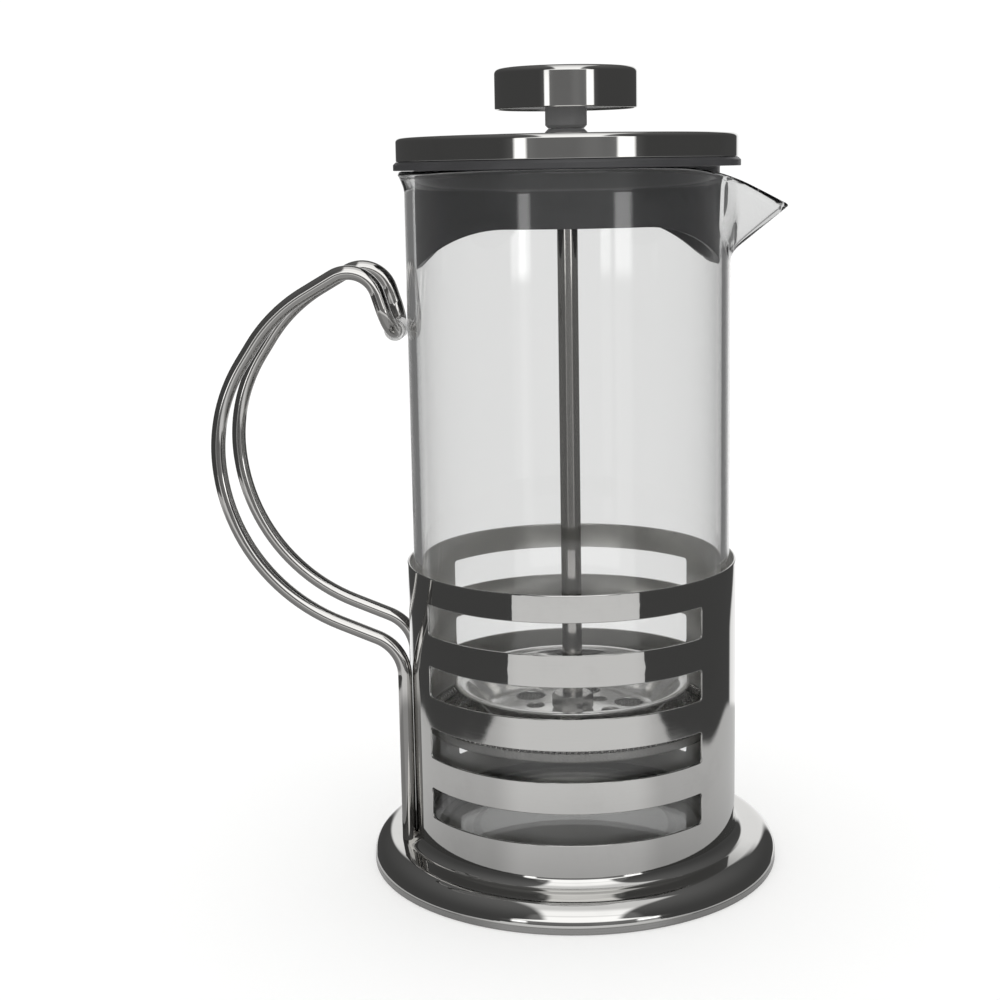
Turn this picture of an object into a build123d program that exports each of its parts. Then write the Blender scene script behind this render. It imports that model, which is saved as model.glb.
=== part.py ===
from build123d import *
from build123d.topology import SkipClean
import math
import os

# A french press: a glass beaker in a slotted steel cage on a flared foot, a bent wire handle, a steel lid
# with a plastic skirt, and a plunger with a dished filter. Millimetres, +Z up, the axis of the press on Z,
# the table at z = 0, the handle towards -X and the spout towards +X.

# Fits and clearances
weld_gap = 0.05
seat_gap = 0.05
running_gap = 0.05
rest_gap = 0.1
soft_gap = 0.3

# Steel cage and foot
sheet = 0.5
cage_radius = 40.75
cage_height = 67.7
foot_height = 9.5
foot_flare = 10.15
neck_bend_run = 1.8
brow_bend_run = 4.3
bend_lead = 0.3
hem_width = 1.2
hem_height = 1.6
pan_top = 6.6
pan_rim = 3.0

# Slots in the cage, in rows on its front and back
slot_rows = 4
slot_height = 7.6
slot_span = 106.0
slot_turn = 2.5
slot_corner = 0.9
lower_band = 7.9
upper_band = 6.5

# Wire handle
wire = 3.5
wire_spread = 22.5
leg_lift = 0.4
leg_bend_drop = 20.6
leg_bend = 10.5
knee_reach = 40.9
knee_rise = 16.6
grip_flare = 4.6
grip_rise = 42.0
crest_run = 15.8
crest_rise = 24.1
shoulder_run = 22.9
shoulder_rise = 13.2
shoulder_bend = 7.4
hook_drop = 18.1
hook_bend = 6.0
knee_share = 0.65
grip_share = 0.34
crest_share = 0.35
bumper_wall = 0.8
bumper_length = 9.0

# Glass beaker
glass_gap = 1.05
glass_wall = 2.0
glass_height = 165.7
glass_corner_run = 5.0
rim_flare = 1.4
rim_height = 5.0
rim_bend_run = 1.8
spout_reach = 13.6
spout_depth = 20.9
spout_drop = 9.0
spout_nose = 3.5
spout_wall = 1.7
spout_root = 20.0
spout_set = 2.5
spout_sink = 0.3
spout_mouth = 4.35

# Lid
lid_height = 7.7
lid_side_gap = 0.4
lid_bend_run = 1.1
skirt_gap = 0.6
skirt_wall = 1.6
skirt_depth = 23.2
arch_rise = 10.0
arch_top = 50.0
arch_corner = 25.0
arch_turn = 5.4
ear_width = 0.5
flange_step = 0.6
flange_thickness = 2.0
ceiling_thickness = 1.6
bush_radius = 4.3
bush_wall_flange = 0.8
bush_flange_height = 0.8
bush_cone_height = 0.8
bush_length = 5.2
retainer_width = 2.65
retainer_thickness = 1.2

# Knob
knob_radius = 17.1
knob_height = 9.6
knob_sheet = 0.6
knob_bend_run = 1.0
neck_radius = 5.0
neck_height = 4.5
neck_chamfer = 0.7
core_recess = 0.5
insert_radius = 3.5
insert_height = 7.0
insert_depth = 0.5

# Plunger and filter
rod_radius = 2.5
rod_engagement = 6.0
press_gap = 22.6
hub_radius = 5.0
hub_flange = 8.0
hub_flange_height = 1.0
hub_height = 5.0
hub_floor = 1.2
cross_thickness = 0.8
cross_rim = 3.4
cross_hub = 11.0
cross_arm = 6.0
cross_arms = 4
mesh_thickness = 0.3
mesh_pitch = 4.0
mesh_strand = 0.9
mesh_bare_rim = 1.0
mesh_hub = 7.5
filter_gap = 0.3
trough_sheet = 0.25
trough_drop = 1.0
trough_rise = 1.3
coil_radius = 1.0
spring_wire = 0.5
spring_turns = 36
spring_opening = 10.0
dish_sheet = 0.6
dish_inset = 7.2
dish_flange = 2.2
dish_wall_run = 7.0
dish_height = 8.0
dish_floor_bend_run = 2.4
dish_rim_bend_run = 1.2
hole_count = 6
large_hole = 7.5
large_hole_ring = 15.0
large_hole_turn = 19.0
small_hole = 4.7
small_hole_ring = 9.8
nut_width = 9.0
nut_height = 4.0
nut_chamfer_angle = 30.0

# Heights and radii that follow from the sizes above
cage_top = foot_height + cage_height
foot_radius = cage_radius + foot_flare
glass_radius = cage_radius - sheet - glass_gap
bore_radius = glass_radius - glass_wall
glass_bottom = pan_top + rest_gap
glass_floor = glass_bottom + glass_wall
rim_top = glass_bottom + glass_height
rim_radius = glass_radius + rim_flare
lid_bottom = rim_top + rest_gap
lid_top = lid_bottom + lid_height
lid_radius = rim_radius + lid_side_gap
lid_hole = bush_radius + running_gap
skirt_radius = bore_radius - skirt_gap
skirt_bottom = lid_bottom - skirt_depth
ceiling_top = lid_top - sheet - seat_gap
ceiling_bottom = ceiling_top - ceiling_thickness
bush_seat = lid_top + seat_gap
bush_top = bush_seat + bush_flange_height + bush_cone_height
neck_bottom = bush_top + rest_gap
knob_bottom = neck_bottom + neck_height
knob_top = knob_bottom + knob_height
core_bottom = knob_bottom + core_recess
core_top = knob_top - knob_sheet - seat_gap
insert_bottom = core_bottom + insert_depth
rod_bore = rod_radius + running_gap
hub_bottom = glass_floor + press_gap
cross_bottom = hub_bottom + hub_height
mesh_bottom = cross_bottom + cross_thickness
dish_bottom = mesh_bottom + mesh_thickness
dish_floor = dish_bottom + dish_sheet
trough_radius = bore_radius - filter_gap
coil_room = coil_radius + spring_wire / math.sqrt(2) + seat_gap
coil_ring = trough_radius - trough_sheet - coil_room
trough_inner = coil_ring - coil_room - trough_sheet
trough_middle = mesh_bottom + mesh_thickness / 2 - trough_drop
coil_height = trough_middle + trough_sheet / 2 + coil_room
cross_radius = trough_inner - seat_gap
dish_radius = trough_radius - dish_inset


def bend_radius(before, corner, after, run):
    """Radius of a bend between two straight runs whose arc starts a given run before the corner."""
    turn = (Vector(*corner) - Vector(*before)).get_angle(Vector(*after) - Vector(*corner))
    return run / math.tan(math.radians(turn / 2))


def bent_line(points, runs):
    """A line through the points, bent at each inner point, with each bend's run from its corner."""
    corners = zip(points, points[1:], points[2:], runs)
    return FilletPolyline(*points, radius=[bend_radius(*corner) for corner in corners])


def radial_plane(angle):
    """The upright plane through the axis at an angle, its x outwards and its y upwards."""
    turn = math.radians(angle)
    outwards = (math.cos(turn), math.sin(turn), 0)
    return Plane((0, 0, 0), x_dir=outwards, z_dir=(math.sin(turn), -math.cos(turn), 0))


# Foot: spun sheet that sweeps out from the neck to a rolled hem
foot_neck = cage_radius - sheet / 2
foot_brow = foot_radius - sheet / 2
neck_corner = foot_height - neck_bend_run - bend_lead
brow_corner = hem_height + brow_bend_run + bend_lead

with BuildPart() as base_foot:
    with BuildSketch(Plane.XZ):
        with BuildLine():
            bent_line(
                [
                    (foot_neck, foot_height),
                    (foot_neck, neck_corner),
                    (foot_brow, brow_corner),
                    (foot_brow, hem_height / 2),
                ],
                [neck_bend_run, brow_bend_run],
            )
        trace(line_width=sheet)
        with Locations((foot_radius - hem_width / 2, hem_height / 2)):
            Rectangle(hem_width, hem_height)
    revolve(axis=Axis.Z)

# Pan: pressed floor inside the cage that carries the glass
pan_radius = cage_radius - sheet - weld_gap - sheet / 2
pan_middle = pan_top - sheet / 2

with BuildPart() as base_pan:
    with BuildSketch(Plane.XZ):
        with BuildLine():
            Polyline((0, pan_middle), (pan_radius, pan_middle), (pan_radius, pan_top + pan_rim))
        trace(line_width=sheet)
    revolve(axis=Axis.Z)

# Cage: sleeve with long slots, the lands between the rows all alike
slot_land = (cage_height - lower_band - upper_band - slot_rows * slot_height) / (slot_rows - 1)
slot_middle = foot_height + lower_band + slot_height / 2
slot_starts = (-90 - slot_turn - slot_span / 2, 90 + slot_turn - slot_span / 2)

band_heights = [lower_band] + [slot_height, slot_land] * (slot_rows - 1) + [slot_height, upper_band]
band_floors = [foot_height + sum(band_heights[:band]) for band in range(len(band_heights))]

with BuildPart() as cage_slots:
    for start in slot_starts:
        with BuildSketch(radial_plane(start)):
            for row in range(slot_rows):
                with Locations((cage_radius, slot_middle + row * (slot_height + slot_land))):
                    Rectangle(4 * sheet, slot_height)
        revolve(axis=Axis.Z, revolution_arc=slot_span)
    fillet(cage_slots.edges().filter_by(GeomType.LINE).filter_by(Axis.Z, reverse=True), slot_corner)

# The sleeve is a stack of bands, each a face of its own, so that every face is a plain strip
with SkipClean():
    with BuildPart() as cage_sleeve:
        for floor, height in zip(band_floors, band_heights):
            with BuildSketch(Plane.XY.offset(floor)):
                Circle(cage_radius)
                Circle(cage_radius - sheet, mode=Mode.SUBTRACT)
            extrude(amount=height, clean=False)
        add(cage_slots.part, mode=Mode.SUBTRACT, clean=False)

# Handle: one wire, its two legs welded to the cage and coped to the foot, its closed end hooked down
# beside the glass
wire_radius = wire / 2
wire_side = wire_spread / 2
leg_out = math.sqrt((cage_radius + weld_gap + wire_radius) ** 2 - wire_side**2)
hook_out = glass_radius + soft_gap + bumper_wall + running_gap + wire_radius
leg_foot = neck_corner + leg_lift
leg_corner = cage_top - leg_bend_drop
knee_height = leg_corner + knee_rise
grip_top = knee_height + grip_rise
crest_height = grip_top + crest_rise
shoulder_height = crest_height + shoulder_rise
hook_height = shoulder_height - hook_drop
knee_out = leg_out + knee_reach
grip_out = knee_out + grip_flare
crest_out = grip_out - crest_run
shoulder_out = crest_out - shoulder_run
low_length = math.hypot(knee_reach, knee_rise)
grip_length = math.hypot(grip_flare, grip_rise)
crest_length = math.hypot(crest_run, crest_rise)
top_length = math.hypot(shoulder_run, shoulder_rise)

half_wire = [
    (-leg_out, wire_side, leg_foot),
    (-leg_out, wire_side, leg_corner),
    (-knee_out, wire_side, knee_height),
    (-grip_out, wire_side, grip_top),
    (-crest_out, wire_side, crest_height),
    (-shoulder_out, wire_side, shoulder_height),
    (-hook_out, wire_side, hook_height),
]
other_half = [(x, -y, z) for x, y, z in reversed(half_wire)]
knee_bend = bend_radius(*half_wire[1:4], knee_share * min(low_length, grip_length))
grip_bend = bend_radius(*half_wire[2:5], min(grip_share * grip_length, crest_length / 2))
crest_bend = bend_radius(*half_wire[3:6], crest_share * min(crest_length, top_length))
half_bends = [leg_bend, knee_bend, grip_bend, crest_bend, shoulder_bend, hook_bend]

with BuildPart() as handle_wire:
    with BuildLine() as wire_path:
        FilletPolyline(*half_wire, *other_half, radius=half_bends + half_bends[::-1])
    with BuildSketch(Plane.XY.offset(leg_foot)):
        with Locations((-leg_out, wire_side)):
            Circle(wire_radius)
    sweep(path=wire_path.wires()[0])
    add(base_foot.part, mode=Mode.SUBTRACT)

wire_volume = math.pi * wire_radius**2 * wire_path.wires()[0].length
print("handle wire volume over section times length:", handle_wire.part.volume / wire_volume)

# Bumper: soft sleeve on the hook's cross run, so that steel never touches glass
with BuildPart() as handle_bumper:
    with BuildSketch(Plane.XZ):
        with Locations((-hook_out, hook_height)):
            Circle(wire_radius + running_gap + bumper_wall)
            Circle(wire_radius + running_gap, mode=Mode.SUBTRACT)
    extrude(amount=bumper_length / 2, both=True)

# Beaker: blown wall with a flared round rim, and a spout drawn out of the wall as a tapering hull
glass_middle = glass_radius - glass_wall / 2
spout_bottom = rim_top - spout_depth
ridge_reach = spout_reach * spout_depth / (spout_depth - spout_drop)
mouth_start = glass_radius - spout_mouth
mouth_slope = spout_drop / (spout_reach + spout_mouth)
mouth_far = spout_mouth + ridge_reach


def spout_section(height, reach, inset):
    """Hull of the spout's root and nose at a height, drawn in by an inset on all sides."""
    with BuildSketch(Plane.XY.offset(height)) as section:
        with Locations((glass_radius - spout_root - spout_set, 0)):
            Circle(spout_root - inset)
        with Locations((glass_radius + reach - spout_nose, 0)):
            Circle(spout_nose - inset)
        make_hull()
    return section.sketch


spout_outside = [spout_section(spout_bottom, -spout_sink, 0), spout_section(rim_top, ridge_reach, 0)]
spout_inside = [
    spout_section(spout_bottom, -spout_wall, spout_wall),
    spout_section(rim_top, ridge_reach, spout_wall),
]

with BuildPart() as glass_beaker:
    loft(sections=spout_outside, ruled=True)
    with BuildSketch(Plane.XY.offset(spout_bottom)):
        Circle(glass_middle)
    extrude(amount=spout_depth, mode=Mode.SUBTRACT)
    with BuildSketch(radial_plane(180)):
        with BuildLine():
            bent_line(
                [
                    (0, glass_bottom + glass_wall / 2),
                    (glass_middle, glass_bottom + glass_wall / 2),
                    (glass_middle, rim_top - rim_height),
                    (glass_middle + rim_flare, rim_top - glass_wall / 2),
                ],
                [glass_corner_run, rim_bend_run],
            )
        trace(line_width=glass_wall)
        with Locations((glass_middle + rim_flare, rim_top - glass_wall / 2)):
            Circle(glass_wall / 2)
    revolve(axis=Axis.Z)
    loft(sections=spout_inside, ruled=True, mode=Mode.SUBTRACT)
    with BuildSketch(Plane.XZ):
        with BuildLine():
            Polyline(
                (mouth_start, rim_top),
                (mouth_start + mouth_far, rim_top - mouth_far * mouth_slope),
                (mouth_start + mouth_far, rim_top + rim_height),
                (mouth_start, rim_top + rim_height),
                close=True,
            )
        make_face()
    extrude(amount=glass_radius, both=True, mode=Mode.SUBTRACT)

# Lid shell: drawn cap that stands on the flange of the insert
shell_middle = lid_radius - sheet / 2
shell_top = lid_top - sheet / 2
flange_top = lid_bottom + flange_thickness

with BuildPart() as lid_shell:
    with BuildSketch(Plane.XZ):
        with BuildLine():
            bent_line(
                [
                    (lid_hole, shell_top),
                    (shell_middle, shell_top),
                    (shell_middle, flange_top + seat_gap),
                ],
                [lid_bend_run],
            )
        trace(line_width=sheet)
    revolve(axis=Axis.Z)

# Lid insert: moulded skirt inside the glass, arched at front and back, with a flange over the rim
skirt_inside = skirt_radius - skirt_wall
flange_radius = lid_radius + flange_step
arch_foot = skirt_radius - ear_width
arch_height = skirt_bottom + arch_rise

with BuildPart() as lid_insert:
    with BuildSketch(Plane.XZ):
        with BuildLine():
            Polyline(
                (lid_hole, ceiling_bottom),
                (skirt_inside, ceiling_bottom),
                (skirt_inside, skirt_bottom),
                (skirt_radius, skirt_bottom),
                (skirt_radius, lid_bottom),
                (flange_radius, lid_bottom),
                (flange_radius, flange_top - flange_step),
                (lid_radius, flange_top),
                (skirt_radius, flange_top),
                (skirt_radius, ceiling_top),
                (lid_hole, ceiling_top),
                close=True,
            )
        make_face()
    revolve(axis=Axis.Z)
    with BuildSketch(radial_plane(arch_turn)) as arch:
        with BuildLine():
            Polyline(
                (-arch_foot, skirt_bottom),
                (-arch_top / 2, arch_height),
                (arch_top / 2, arch_height),
                (arch_foot, skirt_bottom),
                close=True,
            )
        make_face()
        fillet(arch.vertices().sort_by(Axis.Y)[-2:], arch_corner)
    extrude(amount=lid_radius, both=True, mode=Mode.SUBTRACT)

# Bush retainer: ring that holds the bush under the ceiling of the insert
with BuildPart() as bush_retainer:
    with BuildSketch(Plane.XY.offset(ceiling_bottom - seat_gap)):
        Circle(lid_hole + retainer_width)
        Circle(lid_hole, mode=Mode.SUBTRACT)
    extrude(amount=-retainer_thickness)

# Lid bush: collar in the middle of the lid in which the rod slides
bush_flange = bush_radius + bush_wall_flange

with BuildPart() as lid_bush:
    with BuildSketch(Plane.XZ):
        with BuildLine():
            Polyline(
                (rod_bore, bush_seat - bush_length),
                (bush_radius, bush_seat - bush_length),
                (bush_radius, bush_seat),
                (bush_flange, bush_seat),
                (bush_flange, bush_seat + bush_flange_height),
                (bush_radius, bush_top),
                (rod_bore, bush_top),
                close=True,
            )
        make_face()
    revolve(axis=Axis.Z)

# Knob shell: drawn steel puck, open below
knob_middle = knob_radius - knob_sheet / 2

with BuildPart() as knob_shell:
    with BuildSketch(Plane.XZ):
        with BuildLine():
            bent_line(
                [
                    (0, knob_top - knob_sheet / 2),
                    (knob_middle, knob_top - knob_sheet / 2),
                    (knob_middle, knob_bottom),
                ],
                [knob_bend_run],
            )
        trace(line_width=knob_sheet)
    revolve(axis=Axis.Z)

# Knob core: moulded disc with a neck, filling the shell
core_radius = knob_radius - knob_sheet - seat_gap
insert_hole = insert_radius + seat_gap

with BuildPart() as knob_core:
    with BuildSketch(Plane.XZ):
        with BuildLine():
            Polyline(
                (rod_bore, neck_bottom),
                (neck_radius - neck_chamfer, neck_bottom),
                (neck_radius, neck_bottom + neck_chamfer),
                (neck_radius, core_bottom),
                (core_radius, core_bottom),
                (core_radius, core_top - knob_bend_run),
                (core_radius - knob_bend_run, core_top),
                (0, core_top),
                (0, insert_bottom + insert_height + seat_gap),
                (insert_hole, insert_bottom + insert_height + seat_gap),
                (insert_hole, insert_bottom - seat_gap),
                (rod_bore, insert_bottom - seat_gap),
                close=True,
            )
        make_face()
    revolve(axis=Axis.Z)

# Knob thread: metal insert that the rod screws into
with BuildPart() as knob_thread:
    with BuildSketch(Plane.XY.offset(insert_bottom)):
        Circle(insert_radius)
    extrude(amount=insert_height)
    with BuildSketch(Plane.XY.offset(insert_bottom)):
        Circle(rod_bore)
    extrude(amount=rod_engagement, mode=Mode.SUBTRACT)

# Rod: from the thread in the knob down to the hub nut
rod_bottom = hub_bottom + hub_floor + seat_gap
rod_top = insert_bottom + rod_engagement - seat_gap

with BuildPart() as plunger_rod:
    with BuildSketch(Plane.XY.offset(rod_bottom)):
        Circle(rod_radius)
    extrude(amount=rod_top - rod_bottom)

# Hub nut: round flanged nut under the filter stack
with BuildPart() as hub_nut:
    with BuildSketch(Plane.XZ):
        with BuildLine():
            Polyline(
                (0, hub_bottom),
                (hub_radius, hub_bottom),
                (hub_radius, cross_bottom - hub_flange_height),
                (hub_flange, cross_bottom - hub_flange_height),
                (hub_flange, cross_bottom),
                (rod_bore, cross_bottom),
                (rod_bore, hub_bottom + hub_floor),
                (0, hub_bottom + hub_floor),
                close=True,
            )
        make_face()
    revolve(axis=Axis.Z)

# Cross plate: rim, hub and arms that back the mesh
with BuildPart() as cross_plate:
    with BuildSketch(Plane.XY.offset(cross_bottom)):
        Circle(cross_radius)
        Circle(cross_radius - cross_rim, mode=Mode.SUBTRACT)
        Circle(cross_hub)
        with PolarLocations((cross_hub + cross_radius - cross_rim) / 2, cross_arms):
            Rectangle(cross_radius - cross_hub, cross_arm)
        Circle(rod_bore, mode=Mode.SUBTRACT)
    extrude(amount=cross_thickness)

# Mesh: net disc with a hem turned up into a trough round its edge
trough_wall = trough_radius - trough_sheet / 2
trough_lip = trough_inner + trough_sheet / 2
mesh_middle = mesh_bottom + mesh_thickness / 2
mesh_gap = mesh_pitch - mesh_strand
gap_reach = mesh_gap / math.sqrt(2)
mesh_rows = math.floor(trough_inner / mesh_pitch)
mesh_gaps = [
    (column * mesh_pitch, row * mesh_pitch)
    for column in range(-mesh_rows, mesh_rows + 1)
    for row in range(-mesh_rows, mesh_rows + 1)
    if mesh_hub + gap_reach < math.hypot(column, row) * mesh_pitch < trough_inner - mesh_bare_rim - gap_reach
]

with BuildPart() as filter_mesh:
    with BuildSketch(Plane.XY.offset(mesh_bottom)):
        Circle(trough_lip)
        Circle(rod_bore, mode=Mode.SUBTRACT)
        with Locations(*mesh_gaps):
            Rectangle(mesh_gap, mesh_gap, mode=Mode.SUBTRACT)
    extrude(amount=mesh_thickness)
    with BuildSketch(Plane.XZ):
        with BuildLine():
            Polyline(
                (trough_lip, mesh_middle),
                (trough_lip, trough_middle),
                (trough_wall, trough_middle),
                (trough_wall, mesh_middle + trough_rise),
            )
        trace(line_width=trough_sheet)
    revolve(axis=Axis.Z)

print("mesh gaps:", len(mesh_gaps))

# Spring: open coil ring that lies in the trough and presses the hem against the glass
half_turns = 2 * spring_turns
ring_angle = math.radians(360 - spring_opening)


def coil_point(half_turn):
    """A point on the coil, so many half turns along it."""
    around = math.pi * half_turn
    along = ring_angle * half_turn / half_turns
    out = coil_ring + coil_radius * math.cos(around)
    return Vector(out * math.cos(along), out * math.sin(along), coil_height + coil_radius * math.sin(around))


def coil_tangent(half_turn):
    """The coil's direction, so many half turns along it."""
    around = math.pi * half_turn
    along = ring_angle * half_turn / half_turns
    out = coil_ring + coil_radius * math.cos(around)
    outwards = -coil_radius * math.sin(around) * math.pi
    forwards = out * ring_angle / half_turns
    upwards = coil_radius * math.cos(around) * math.pi
    x = outwards * math.cos(along) - forwards * math.sin(along)
    y = outwards * math.sin(along) + forwards * math.cos(along)
    return Vector(x, y, upwards).normalized()


def biarc(start, start_tangent, end, end_tangent):
    """Two arcs that meet smoothly and join two points along their tangents."""
    chord = end - start
    both = start_tangent + end_tangent
    square = both.dot(both) - 4
    linear = chord.dot(both)
    reach = (linear - math.sqrt(linear**2 - square * chord.dot(chord))) / square
    first_corner = start + start_tangent * reach
    last_corner = end - end_tangent * reach
    meeting = (first_corner + last_corner) / 2
    TangentArc(start, meeting, tangent=start_tangent)
    TangentArc(meeting, end, tangent=last_corner - first_corner)


with BuildPart() as filter_spring:
    with BuildLine() as coil_path:
        for half_turn in range(half_turns):
            ends = (half_turn, half_turn + 1)
            biarc(*[place(at) for at in ends for place in (coil_point, coil_tangent)])
    with BuildSketch(Plane(coil_point(0), x_dir=(1, 0, 0), z_dir=coil_tangent(0))):
        Rectangle(spring_wire, spring_wire)
    sweep(path=coil_path.wires()[0], clean=False)

coil_samples = [coil_point(step / 8) for step in range(8 * half_turns + 1)]
coil_gap = min(
    (coil_samples[far] - coil_samples[near]).length
    for near in range(len(coil_samples))
    for far in range(near + 8, min(near + 40, len(coil_samples)))
)
print("least gap of the spring to itself:", coil_gap - spring_wire * math.sqrt(2))

# Filter dish: drawn bowl with a rolled-out rim, drained by large and small holes in turn
dish_middle = dish_bottom + dish_sheet / 2
dish_brim = dish_radius - dish_flange
dish_foot = dish_brim - dish_wall_run
dish_top = dish_middle + dish_height

with BuildPart() as filter_dish:
    with BuildSketch(Plane.XZ):
        with BuildLine():
            bent_line(
                [
                    (rod_bore, dish_middle),
                    (dish_foot, dish_middle),
                    (dish_brim, dish_top),
                    (dish_radius, dish_top),
                ],
                [dish_floor_bend_run, dish_rim_bend_run],
            )
        trace(line_width=dish_sheet)
    revolve(axis=Axis.Z)
    with BuildSketch(Plane.XY.offset(dish_bottom)):
        with PolarLocations(large_hole_ring, hole_count, start_angle=large_hole_turn):
            Circle(large_hole / 2)
        with PolarLocations(small_hole_ring, hole_count, start_angle=large_hole_turn + 180 / hole_count):
            Circle(small_hole / 2)
    extrude(amount=dish_sheet, mode=Mode.SUBTRACT)

# Lock nut: hexagon with chamfered corners on the floor of the dish
nut_corner = nut_width / math.sqrt(3)
nut_chamfer = (nut_corner - nut_width / 2) * math.tan(math.radians(nut_chamfer_angle))

with BuildPart() as lock_nut:
    with BuildSketch(Plane.XY.offset(dish_floor)):
        RegularPolygon(nut_width / 2, 6, major_radius=False)
        Circle(rod_bore, mode=Mode.SUBTRACT)
    extrude(amount=nut_height)
    with BuildSketch(Plane.XZ):
        with BuildLine():
            Polyline(
                (0, dish_floor),
                (nut_corner, dish_floor),
                (nut_corner, dish_floor + nut_height - nut_chamfer),
                (nut_width / 2, dish_floor + nut_height),
                (0, dish_floor + nut_height),
                close=True,
            )
        make_face()
    revolve(axis=Axis.Z, mode=Mode.INTERSECT)

# One named file for each piece
pieces = {
    "base_foot": base_foot,
    "base_pan": base_pan,
    "cage_sleeve": cage_sleeve,
    "handle_wire": handle_wire,
    "handle_bumper": handle_bumper,
    "glass_beaker": glass_beaker,
    "lid_shell": lid_shell,
    "lid_insert": lid_insert,
    "bush_retainer": bush_retainer,
    "lid_bush": lid_bush,
    "knob_shell": knob_shell,
    "knob_core": knob_core,
    "knob_thread": knob_thread,
    "plunger_rod": plunger_rod,
    "hub_nut": hub_nut,
    "cross_plate": cross_plate,
    "filter_mesh": filter_mesh,
    "filter_spring": filter_spring,
    "filter_dish": filter_dish,
    "lock_nut": lock_nut,
}

os.makedirs("parts", exist_ok=True)
for piece_name, piece in pieces.items():
    piece.part.label = piece_name
    export_step(piece.part, f"parts/{piece_name}.step")
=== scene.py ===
import logging
import math
from dataclasses import dataclass
from enum import Enum
from typing import Any, Callable, Iterable, Sequence

import bmesh
import bpy
import numpy as np
from mathutils import Matrix


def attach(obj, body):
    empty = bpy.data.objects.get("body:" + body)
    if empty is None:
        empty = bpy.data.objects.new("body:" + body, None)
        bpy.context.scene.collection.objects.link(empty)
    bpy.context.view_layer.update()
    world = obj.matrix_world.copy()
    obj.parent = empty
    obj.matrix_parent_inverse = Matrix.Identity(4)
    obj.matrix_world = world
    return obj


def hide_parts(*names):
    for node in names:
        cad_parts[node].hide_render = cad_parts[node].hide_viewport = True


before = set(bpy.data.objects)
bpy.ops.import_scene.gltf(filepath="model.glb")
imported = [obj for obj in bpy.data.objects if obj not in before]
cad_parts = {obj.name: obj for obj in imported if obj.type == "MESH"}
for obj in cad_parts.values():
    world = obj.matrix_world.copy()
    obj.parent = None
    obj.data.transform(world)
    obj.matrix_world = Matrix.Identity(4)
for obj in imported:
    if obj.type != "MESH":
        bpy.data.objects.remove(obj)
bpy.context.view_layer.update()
log = logging.getLogger("french_press")

MM = 0.001
TURN = 2 * math.pi
DEGREES = 180 / math.pi
FIT = 0.05  # millimetres between pieces that sit on each other
MERGE = 3e-7  # metres within which points are one
Pair = tuple[float, float]
Triple = tuple[float, float, float]
Colour = Triple
Profile = tuple[float, tuple[Triple, ...]]


class Body(Enum):
    """The bodies that pieces ride on."""

    FRAME = "frame"
    BEAKER = "beaker"
    GUIDE = "lid_guide"
    LID = "lid"
    PLUNGER = "plunger"


class Slot(Enum):
    """The material slots of the pieces, which make is given but does not read."""

    POLISHED = "polished_steel"
    WIRE = "wire_steel"
    ROD = "rod_steel"
    MESH = "mesh_steel"
    BLACK = "black_plastic"
    GREY = "grey_plastic"
    SILICONE = "clear_silicone"
    GLASS = "clear_glass"


# Surfaces


@dataclass(frozen=True)
class Surface:
    """Points in millimetres and the four-sided faces between them."""

    points: np.ndarray
    faces: np.ndarray


def joined(parts: Sequence[Surface]) -> Surface:
    """All surfaces as one.

    Args:
        parts: The surfaces.

    Returns:
        One surface with the points and faces of all.
    """
    starts = np.cumsum([0, *(len(part.points) for part in parts[:-1])])
    faces = [part.faces + start for part, start in zip(parts, starts)]
    return Surface(np.concatenate([part.points for part in parts]), np.concatenate(faces))


def grid(points: np.ndarray, wrap_rows: bool = False, wrap_columns: bool = False) -> Surface:
    """Joins neighbouring points of an array by four-sided faces.

    Args:
        points: Places in an array of rows, columns and three coordinates.
        wrap_rows: Whether the last row joins the first.
        wrap_columns: Whether the last column joins the first.

    Returns:
        The surface over the array.
    """
    rows, columns = points.shape[:2]
    index = np.arange(rows * columns).reshape(rows, columns)
    if wrap_rows:
        index = np.concatenate([index, index[:1]], axis=0)
    if wrap_columns:
        index = np.concatenate([index, index[:, :1]], axis=1)
    corners = [index[:-1, :-1], index[:-1, 1:], index[1:, 1:], index[1:, :-1]]
    return Surface(points.reshape(-1, 3), np.stack(corners, axis=-1).reshape(-1, 4))


def unit(vectors: np.ndarray) -> np.ndarray:
    """The vectors at length one."""
    return vectors / np.maximum(np.linalg.norm(vectors, axis=-1, keepdims=True), 1e-12)


def headings(line: np.ndarray) -> np.ndarray:
    """The direction of a line at each of its points: the mean of the runs before and after it."""
    runs = unit(np.diff(line, axis=0))
    return unit(np.concatenate([runs[:1], runs[:-1] + runs[1:], runs[-1:]]))


def rounded(corners: Sequence[Sequence[float]], radii: Iterable[float], steps: int = 10) -> np.ndarray:
    """A line through corners, each inner one replaced by an arc that is tangent to both runs.

    The arc is centre + radius * (cos(t) * out + sin(t) * along) for t up to the turn of the corner. A point
    just off each end of an arc keeps the straight runs straight under smooth shading.

    Args:
        corners: The corners of the line, in two or three coordinates.
        radii: The radius at each inner corner, 0 for a sharp one.
        steps: The parts of each arc.

    Returns:
        The points of the line.
    """
    lead = 0.03
    places = np.asarray(corners, float)
    runs = [places[:1]]
    for before, corner, after, radius in zip(places, places[1:], places[2:], radii):
        back, ahead = unit(before - corner), unit(after - corner)
        half = math.acos(float(np.clip(back @ ahead, -1, 1))) / 2
        reach = radius / math.tan(half)
        centre = corner + unit(back + ahead) * radius / math.sin(half)
        turn = np.linspace(0, math.pi - 2 * half, steps + 1 if radius else 1)[:, None]
        out = unit(corner + back * reach - centre) if radius else np.zeros_like(corner)
        arc = centre + radius * (np.cos(turn) * out - np.sin(turn) * back)
        runs += [[corner + back * (reach + lead)], arc, [corner + ahead * (reach + lead)]]
    return np.concatenate([*runs, places[-1:]])


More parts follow.
